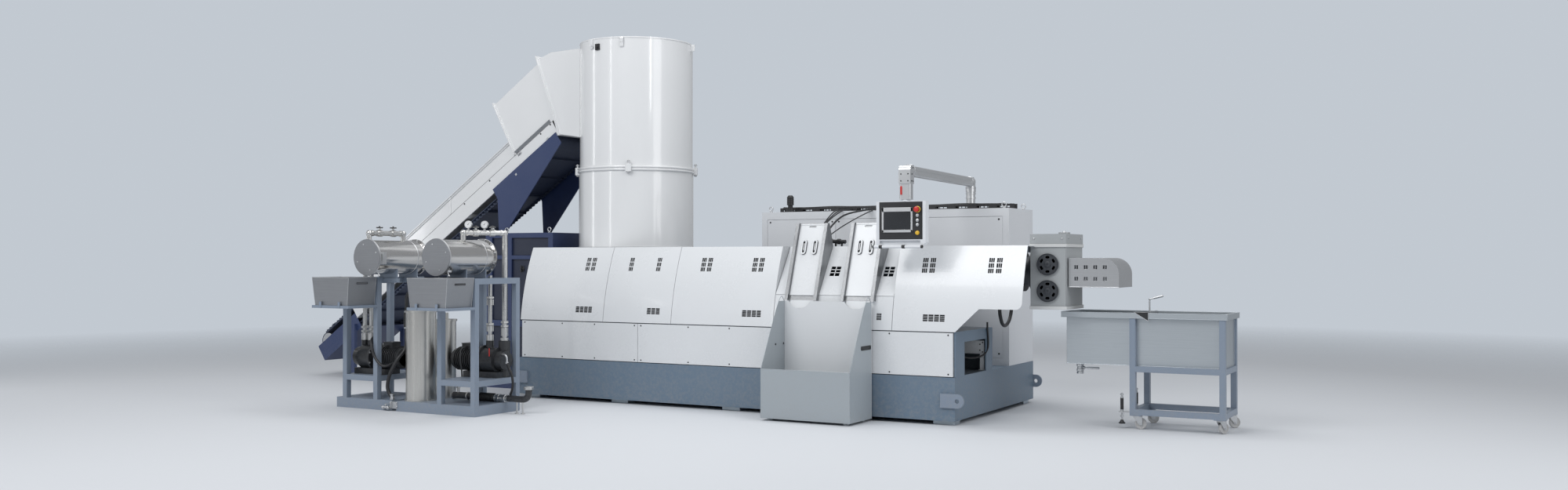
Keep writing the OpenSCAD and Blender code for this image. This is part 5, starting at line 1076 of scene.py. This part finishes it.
def make_cover_lips():
    """Folded lips along the edges of the conveyor's covers, dark seams and the bands over their joints."""
    lips = Form(slope_frame)
    for y, way in CHEEKS:
        near, far = sorted((y, y + way * 0.01))
        lips.box((COVER_TAIL, near, -0.006), (0.02, far, 0.003))
        lips.box((COVER_TAIL, near, -0.03), (0.02, far - 0.006 if way > 0 else far, -0.024))
        lips.box((COVER_TAIL, near, -CONVEYOR.side_h), (0.585, far, -CONVEYOR.side_h + 0.006))
    lips.finish("cover_lips", tower_white, bevel=0.0015)
    seams = Form(slope_frame)
    y = CONVEYOR.front
    seams.box((COVER_TAIL + 0.002, y - 0.0006, -0.1672), (0.585, y + 0.0005, -0.1635))
    seams.box((COVER_TAIL + 0.002, y - 0.0006, -0.0205), (0.018, y + 0.0005, -0.0175))
    seams.finish("cover_seams", black_plastic, smooth=False)
    bands = Form(slope_frame)
    for s in (-0.99, -1.96):
        for low, high in ((y - 0.004, y + 0.0005), (CONVEYOR.back - 0.0005, CONVEYOR.back + 0.004)):
            bands.prism([(s, -0.004), (s + 0.036, -0.004), (s - 0.062, -0.158), (s - 0.1, -0.158)], low,
                        high)
    bands.finish("cover_joint_bands", arm_alu, bevel=0.001)


def make_hood_strip():
    """The slanted folded strip under the head hood, on both sides."""
    form = Form(slope_frame)
    for y, way in CHEEKS:
        form.prism([(y, -0.128), (y + way * 0.016, -0.133), (y + way * 0.016, -0.137), (y, -0.162)],
                   0.03, 0.575, "X")
    form.finish("hood_side_strips", tray_steel, smooth=False)


def make_conveyor_clamps():
    """Screws and the small toggle clamps on the covers and the frame's lower edge."""
    screws = Form(slope_frame)
    y = CONVEYOR.front
    for s, n in ((-2.56, -0.182), (-1.7, -0.182), (-0.841, -0.182), (-0.42, -0.182), (0.402, -0.182),
                 (0.555, -0.178)):
        screws.lathe([(0.0085, -0.0005), (0.0085, 0.003), (0.0065, 0.0055), (0.003, 0.0055),
                      (0.0028, 0.003)], (s, y, n), FRONT, 12)
    screws.finish("conveyor_screws", black_paint, slot="dark_iron")
    clamps = Form(slope_frame)
    n = -0.186
    for s in (0.059, -2.7):
        clamps.box((s - 0.022, y - 0.01, n - 0.012), (s + 0.022, y, n + 0.012))
        clamps.rod((s - 0.016, y - 0.014, n), (s + 0.034, y - 0.014, n - 0.006), 0.0035, sides=10)
        clamps.rod((s + 0.03, y - 0.014, n - 0.006), (s + 0.03, y - 0.006, n + 0.026), 0.003, sides=10)
    for s in (-0.135, -1.83):
        n = -CONVEYOR.side_h + 0.004
        clamps.box((s - 0.065, y - 0.01, n - 0.01), (s + 0.065, y + 0.006, n + 0.004))
        clamps.box((s + 0.04, y - 0.016, n - 0.03), (s + 0.06, y + 0.01, n - 0.008))
        clamps.rod((s - 0.04, y - 0.006, n - 0.018), (s + 0.05, y - 0.006, n - 0.026), 0.006, sides=12)
        clamps.rod((s + 0.046, y - 0.006, n - 0.058), (s + 0.052, y - 0.006, n - 0.018), 0.0045, sides=10)
    clamps.finish("toggle_clamps", zinc_steel, bevel=0.0008)


def make_belt_side_walls():
    """Wavy rubber side walls that stand on both edges of the belt, over and under the rollers."""
    form = Form(slope_frame)
    tail, head, middle, reach = -3.405, 0.445, -0.283, 0.1
    pitch, steps = 0.048, 8
    count = int((head - tail) / pitch)
    for edge in (0.682, 1.288):
        for side in (-1, 1):
            foot, top = middle + side * (reach - 0.001), middle + side * (reach + 0.027)
            line = []
            for index in range(count * steps + 1):
                angle = 2 * math.pi * index / steps
                line.append((tail + pitch * index / steps, edge + 0.01 * math.sin(angle)))
            rows = []
            for shift in (-0.0016, 0.0016):
                for n in (foot, top):
                    rows.append(form.ring(Vector((s, y + shift, n)) for s, y in line))
            order = (rows[0], rows[1], rows[3], rows[2])
            for first, second in zip(order, order[1:] + order[:1]):
                for index in range(len(line) - 1):
                    form.mesh.faces.new((first[index], first[index + 1], second[index + 1], second[index]))
    form.finish("belt_side_walls", belt_rubber)


make_cover_lips()
make_hood_strip()
make_conveyor_clamps()
make_belt_side_walls()

# Tower's rims and sensor socket, clamp ring's bolts and feed stand's panels

TOWER = Vector((-3.813, 0.985, 0))


def level_way(degrees):
    """A level direction, turned from the line's long axis."""
    return Vector((math.cos(math.radians(degrees)), math.sin(math.radians(degrees)), 0))


def make_tower_details():
    """Bolts through the clamp ring's lugs, rims of lid and foot, and the socket for the level sensor."""
    lugs = round_spots(TOWER, 0.597, (28, 118, 208, 298), RIGHT, BACK)
    hex_bolts("clamp_ring_nuts", [lug + up(2.272) for lug in lugs], 0.024, 0.014, UP)
    hex_bolts("clamp_ring_heads", [lug + up(2.178) for lug in lugs], 0.024, 0.014, DOWN)
    rim = Form()
    rim.lathe([(0.56, -0.004), (0.5685, -0.003), (0.57, 0.0), (0.5685, 0.003), (0.56, 0.004)],
              TOWER + up(3.48), UP, 96)
    rim.lathe([(0.572, -0.003), (0.5765, -0.001), (0.5765, 0.004), (0.572, 0.006)],
              TOWER + up(1.452), UP, 96)
    rim.finish("tower_rims", tower_white)
    socket = Form()
    way = level_way(264)
    middle = TOWER + up(3.4)
    socket.tilted_box(middle + way * 0.572, (0.05, 0.06, 0.018), way.to_track_quat("Z", "Y"))
    socket.rod(middle + way * 0.576, middle + way * 0.592, 0.016)
    socket.finish("tower_sensor_socket", black_plastic, bevel=0.001)


def make_stand_panels():
    """Dark panels in the feed stand's recesses, with a latch on the wide one."""
    form = Form()
    left, right, front = -5.44, -4.55, 0.575
    for z0, z1 in ((0.09, 0.64), (0.7, 1.33), (1.37, 1.55)):
        for x0, x1 in ((left + 0.085, left + 0.3), (left + 0.35, right - 0.06)):
            form.box((x0 + 0.003, front + 0.018, z0 + 0.003), (x1 - 0.003, front + 0.0235, z1 - 0.003))
    form.finish("stand_recess_panels", recess_navy, smooth=False)
    latch = Form()
    latch.lathe([(0.03, 0), (0.03, 0.004), (0.026, 0.008), (0.01, 0.01), (0.008, 0.022), (0.006, 0.024)],
                (-4.96, front + 0.018, 1.231), FRONT, 28)
    latch.box((-4.966, front - 0.008, 1.195), (-4.954, front, 1.267))
    latch.finish("stand_latch", black_plastic, bevel=0.001)


make_tower_details()
make_stand_panels()

# Leads behind the chutes and in the bay at the plinth's right end


def make_melt_sensor():
    """The black sensor over the centre cover, with its leads down from the cable tray."""
    body = Form()
    body.rod((-1.4, 0.45, 1.492), (-1.33, 0.45, 1.49), 0.026, sides=24)
    body.rod((-1.332, 0.45, 1.49), (-1.195, 0.45, 1.486), 0.017, sides=24)
    body.rod((-1.275, 0.45, 1.489), (-1.245, 0.45, 1.488), 0.024, sides=6)
    body.box((-1.296, 0.44, 1.4395), (-1.286, 0.46, 1.48))
    body.box((-1.236, 0.44, 1.4395), (-1.226, 0.46, 1.48))
    body.finish("melt_sensor", black_plastic)
    leads = Form()
    leads.sweep([(-1.372, 1.495, 1.815), (-1.374, 1.3, 1.8), (-1.384, 0.8, 1.73), (-1.392, 0.52, 1.6),
                 (-1.392, 0.455, 1.512)], 0.0085, sides=12)
    leads.sweep([(-1.33, 1.495, 1.812), (-1.345, 1.25, 1.775), (-1.372, 0.85, 1.66), (-1.384, 0.56, 1.56),
                 (-1.375, 0.47, 1.512)], 0.005, sides=10)
    for shift in (-0.05, 0.0, 0.045):
        leads.sweep([(-1.69 + shift, 1.495, 1.812), (-1.69 + shift * 0.8, 1.3, 1.79),
                     (-1.655 + shift * 0.3, 1.0, 1.69), (-1.645, 0.78, 1.56), (-1.65, 0.7, 1.442)],
                    0.006, sides=10)
    leads.finish("sensor_leads", black_plastic)


def make_end_bay_details():
    """Connectors, a thin hose and a bracket in the end bay, and the loop under the right hood."""
    form = Form()
    for y, z, radius in ((0.3, 0.64, 0.018), (0.36, 0.64, 0.018), (0.42, 0.64, 0.018), (0.47, 0.545, 0.024),
                         (0.3, 0.5, 0.014)):
        form.lathe([(radius, -0.001), (radius, 0.01), (radius * 0.8, 0.014), (radius * 0.8, 0.026),
                    (radius * 0.5, 0.03)], (-0.233, y, z), RIGHT, 20)
    form.sweep([(0.008, 0.724, 0.8), (0.008, 0.728, 0.74), (0.008, 0.745, 0.656), (0.004, 0.742, 0.575),
                (-0.02, 0.69, 0.52), (-0.09, 0.6, 0.5), (-0.16, 0.52, 0.52), (-0.212, 0.474, 0.544)],
               0.008, sides=12)
    form.sweep([(0.1, 0.77, 0.94), (0.1, 0.785, 0.86), (0.1, 0.84, 0.785), (0.1, 0.92, 0.765),
                (0.1, 1.01, 0.8), (0.1, 1.065, 0.87), (0.1, 1.08, 0.95)], 0.015, sides=14)
    form.finish("end_bay_leads", black_plastic)
    bracket = Form()
    bracket.box((-0.2, 0.728, 0.529), (-0.024, 0.736, 0.642))
    bracket.box((-0.062, 0.729, 0.391), (-0.024, 0.735, 0.53))
    bracket.box((-0.072, 0.72, 0.391), (-0.014, 0.744, 0.397))
    bracket.finish("end_bay_bracket", white_gloss, bevel=0.0015)
    screw_heads("end_bay_bracket_screws", [(-0.036, 0.728, 0.546), (-0.036, 0.728, 0.626),
                                           (-0.06, 0.728, 0.61), (-0.06, 0.728, 0.56)], 0.006, 0.005, FRONT)
    screw_heads("gearbox_screws", [(-0.233, y, z) for y in (0.11, 0.56) for z in (0.43, 0.69)],
                0.007, 0.005, RIGHT)


make_melt_sensor()
make_end_bay_details()

# Casters and jacks of the tank's cart

CASTERS = (((1.340301, 0.550653), (-0.2079117, 0.9781476)), ((1.962, 0.571713), (-0.8660254, 0.5)),
           ((1.338233, 0.979016), (-0.4067366, 0.9135455)), ((1.970513, 0.986569), (-0.6427876, 0.7660444)))
WHEEL_R, WHEEL_HALF, FORK_HALF = 0.044, 0.012, 0.0205


def make_caster_details():
    """Axle nuts on each fork and hub plates on each wheel."""
    for number, (hub, way) in enumerate(CASTERS, 1):
        centre, axle = Vector((*hub, WHEEL_R)), Vector((*way, 0))
        nuts = Form()
        for side in (-1, 1):
            nuts.rod(centre + axle * side * (FORK_HALF - 0.003), centre + axle * side * (FORK_HALF + 0.003),
                     0.0085, sides=6)
        nuts.finish("axle_nuts_%d" % number, zinc_steel, body="caster_%d" % number, smooth=False)
        plates = Form()
        for side in (-1, 1):
            plates.lathe([(0.03, 0.0), (0.03, 0.0012), (0.024, 0.002), (0.01, 0.0008)],
                         centre + axle * side * (WHEEL_HALF - 0.0042), axle * side, 32)
        plates.finish("hub_plates_%d" % number, zinc_steel, body="wheel_%d" % number)


JACK_X, JACK_YS = 1.1997, (0.5225, 0.9875)
THREAD_TURNS, THREAD_PITCH = 14, 0.003


def make_jack_details():
    """Black sleeves, lock nuts and threads of the two levelling jacks."""
    sleeves, nuts = Form(), Form()
    x = JACK_X
    for y in JACK_YS:
        sleeves.lathe(collar(0.0112, 0.0128, 0.09, 0.002), (x, y, 0.15), UP, 28)
        nuts.rod((x, y, 0.092), (x, y, 0.103), 0.0135, sides=6)
        nuts.rod((x, y, 0.262), (x, y, 0.274), 0.012, sides=6)
        thread = []
        for index in range(THREAD_TURNS):
            base = index * THREAD_PITCH
            thread += [(0.0068, base), (0.0078, base + 0.0012), (0.0068, base + 0.0024)]
        nuts.lathe(thread, (x, y, 0.07), UP, 16)
    sleeves.finish("jack_sleeves", black_plastic)
    nuts.finish("jack_nuts", zinc_steel)


make_caster_details()
make_jack_details()

# Dark rims of the cover grips and hand slots, the centre cover's slats and the tower's latches


def oval_band(form, length, width, profile):
    """A closed band round a long oval in the form's XY plane, from a profile of (reach, height) points."""
    half, steps = (length - width) / 2, 12
    path = []
    for end in (1, -1):
        for step in range(steps + 1):
            angle = math.pi * step / steps - math.pi / 2
            out = Vector((math.cos(angle) * end, math.sin(angle) * end, 0))
            path.append((Vector((half * end, 0, 0)) + out * (width / 2), out))
    rows = [form.ring(point + out * reach + up(height) for reach, height in profile) for point, out in path]
    form.join(rows + rows[:1], capped=False)


GRIP_LENGTH, GRIP_WIDTH, GRIP_WALL = 0.132, 0.046, 0.016


def make_grip_rims():
    """Black rubber rims over the covers' oval grips."""
    for chute_x, body, side in CHUTES:
        rims = Form()
        for shift in GRIP_SHIFTS:
            rims.turn = (grip_place(chute_x, shift) @ Matrix.Rotation(math.pi / 2, 4, "X")
                         @ Matrix.Rotation(math.pi / 2, 4, "Z"))
            oval_band(rims, GRIP_LENGTH, GRIP_WIDTH, [
                (0.0008, 0.0), (0.001, GRIP_WALL - 0.002), (-0.001, GRIP_WALL + 0.0009),
                (-0.0105, GRIP_WALL + 0.0009), (-0.0124, GRIP_WALL - 0.002), (-0.0126, 0.004)])
        rims.finish("cover_grip_rims_" + side, black_plastic, body=body)


def make_bin_edging():
    """Rubber edging in the bin's hand slot and plugs in the holes of its left side."""
    edging = Form()
    sideways = Matrix(((0, 0, 1, 0), (1, 0, 0, 0), (0, 1, 0, 0), (0, 0, 0, 1)))
    edging.turn = Matrix.Translation((BIN.x1 - 0.002, HAND_SLOT_Y, HAND_SLOT_Z)) @ sideways
    oval_band(edging, 0.18, 0.026, [(0.004, -0.0045), (0.005, -0.003), (0.005, 0.004), (0.003, 0.0052),
                                    (-0.003, 0.0052), (-0.004, 0.004), (-0.004, -0.0045)])
    edging.turn = Matrix.Identity(4)
    edging.box((BIN.x1 - 0.0042, HAND_SLOT_Y - 0.078, HAND_SLOT_Z - 0.0105),
               (BIN.x1 - 0.0012, HAND_SLOT_Y + 0.078, HAND_SLOT_Z + 0.0105))
    for y in (-0.184, -0.045):
        edging.lathe([(0.006, -0.005), (0.0095, -0.0046), (0.0095, -0.003), (0.0078, -0.0028),
                      (0.0078, 0.003), (0.0095, 0.0046), (0.006, 0.005)],
                     (BIN.x0 + 0.002, y, 0.616), RIGHT, 20)
    edging.finish("bin_rubber_edging", black_plastic)


WIDE_VENTS = (-1.157, -0.654)
LEVEL_VENT_X, LEVEL_VENT_Z = -0.674, 0.859


def make_centre_slats():
    """White slats that divide the centre cover's vents."""
    slats = Form()

    def strip_at(x0, x1, z0, z1):
        low, high = centre_front(z0) + 0.0004, centre_front(z1) + 0.0004
        slats.prism([(low, z0), (high, z1), (high + 0.0015, z1), (low + 0.0015, z0)], x0, x1, "X")

    for x in WIDE_VENTS:
        strip_at(x - 0.004, x + 0.004, 1.19, 1.27)
        for z in (1.2155, 1.2415):
            strip_at(x - 0.046, x + 0.046, z, z + 0.006)
    face = hood_front(LEVEL_VENT_Z) + 0.0012
    x, z = LEVEL_VENT_X, LEVEL_VENT_Z
    for shift in (-0.0075, 0.0065):
        slats.box((x + shift - 0.0014, face, z - 0.028), (x + shift + 0.0014, face + 0.0015, z + 0.028))
    for shift in (-0.0105, 0.0085):
        slats.box((x - 0.022, face, z + shift), (x + 0.022, face + 0.0015, z + shift + 0.003))
    slats.finish("centre_vent_slats", white_gloss, smooth=False)


def make_tower_latches():
    """Curved white tabs that hold the tower's lid, each with a round button."""
    form = Form()
    for turn in (256, 291, 118):
        way = level_way(turn)
        side = Vector((-way.y, way.x, 0))
        base = TOWER + way * 0.567
        steps = [(0.0, 3.4835), (0.01, 3.482), (0.013, 3.47), (0.013, 3.43), (0.01, 3.395), (0.002, 3.385)]
        for (out_a, z_a), (out_b, z_b) in zip(steps, steps[1:]):
            a = base + way * out_a + up(z_a)
            b = base + way * out_b + up(z_b)
            form.tilted_box((a + b) / 2, (0.036, 0.004, (a - b).length + 0.002),
                            (a - b).to_track_quat("Z", "Y"))
        button = base - side * 0.01 + up(3.44)
        form.rod(button + way * 0.012, button + way * 0.018, 0.006, sides=12)
    form.finish("tower_lid_latches", tower_white, bevel=0.0008)


make_grip_rims()
make_bin_edging()
make_centre_slats()
make_tower_latches()

# Camera, floor and light

camera_data = bpy.data.cameras.new("photo_camera")
camera = add_object("photo_camera", camera_data)
camera_data.sensor_width = 36.0
camera_data.lens = 29.74
camera_data.clip_end = 400.0
camera.location = at_line(3.838, -9.722, 1.35)
camera.rotation_euler = (math.radians(90.544), 0.0, math.radians(29.05))
bpy.context.scene.camera = camera


def pale_stage(name, colour, rough, near, far):
    """Pale floor that keeps its shadow near the line and fades into the background beyond it."""
    material, made, surface = start_material(name)
    place = made.object_place()
    patches = made.spread(made.noise(place, 0.35, 4.0, 0.6), 0.3, 0.7, 0.0, 0.06)
    shade = tuple(0.85 * part for part in colour)
    made.wire(made.blend(patches, (*colour, 1), (*shade, 1)), surface.inputs["Base Color"])
    surface.inputs["Roughness"].default_value = rough
    surface.inputs["Specular IOR Level"].default_value = 0.15
    reach = made.add("ShaderNodeVectorMath", {0: place}, operation="LENGTH").outputs["Value"]
    gone = made.add("ShaderNodeBsdfTransparent").outputs[0]
    faded = made.add("ShaderNodeMixShader", {0: made.spread(reach, near, far),
                                             1: surface.outputs[0], 2: gone})
    made.wire(faded.outputs[0], made.nodes["Material Output"].inputs["Surface"])
    return material


floor_mesh = bpy.data.meshes.new("studio_floor")
floor_form = bmesh.new()
bmesh.ops.create_circle(floor_form, cap_ends=True, segments=96, radius=20.0)
floor_form.to_mesh(floor_mesh)
floor_form.free()
studio_floor = add_object("studio_floor", floor_mesh)
studio_floor.location = at_line(-1.7, 0.3, 0.0)
floor_mesh.materials.append(pale_stage("studio_floor", (0.66, 0.68, 0.71), 0.6, 8.0, 17.0))

world = bpy.data.worlds.new("studio_world")
bpy.context.scene.world = world
world.use_nodes = True
sky = Finish(world.node_tree)
soft_fill = sky.nodes["Background"]
soft_fill.inputs["Color"].default_value = (0.8, 0.83, 0.87, 1)
soft_fill.inputs["Strength"].default_value = 0.46
backdrop = sky.add("ShaderNodeBackground", {"Color": (0.6, 0.65, 0.71, 1), "Strength": 0.9})
seen = sky.add("ShaderNodeLightPath").outputs["Is Camera Ray"]
choice = sky.add("ShaderNodeMixShader", {0: seen, 1: soft_fill.outputs[0], 2: backdrop.outputs[0]})
sky.wire(choice.outputs[0], sky.nodes["World Output"].inputs["Surface"])


def soft_lamp(name, place, aim, size, power):
    data = bpy.data.lights.new(name, "AREA")
    data.shape = "RECTANGLE"
    data.size, data.size_y = size
    data.energy = power
    lamp = add_object(name, data)
    lamp.location = place
    lamp.rotation_euler = (Vector(aim) - Vector(place)).to_track_quat("-Z", "Y").to_euler()


soft_lamp("key_softbox", (-3.0, -7.5, 7.5), (-1.8, 0.3, 1.0), (6.0, 4.0), 400)
soft_lamp("top_softbox", (-1.5, 1.0, 8.5), (-1.5, 0.5, 0.0), (9.0, 3.0), 280)
soft_lamp("side_softbox", (6.5, -1.5, 4.0), (0.0, 0.5, 1.0), (3.0, 5.0), 120)
soft_lamp("left_strip", (-10.5, -3.5, 3.2), (-3.8, 1.0, 2.6), (0.5, 4.5), 36)
soft_lamp("middle_strip", (-6.6, -9.0, 3.4), (-3.8, 1.0, 2.6), (0.4, 4.5), 36)
soft_lamp("right_strip", (2.2, -2.2, 5.2), (-3.8, 1.0, 2.8), (0.4, 3.5), 40)

bpy.context.scene.view_settings.view_transform = "Standard"
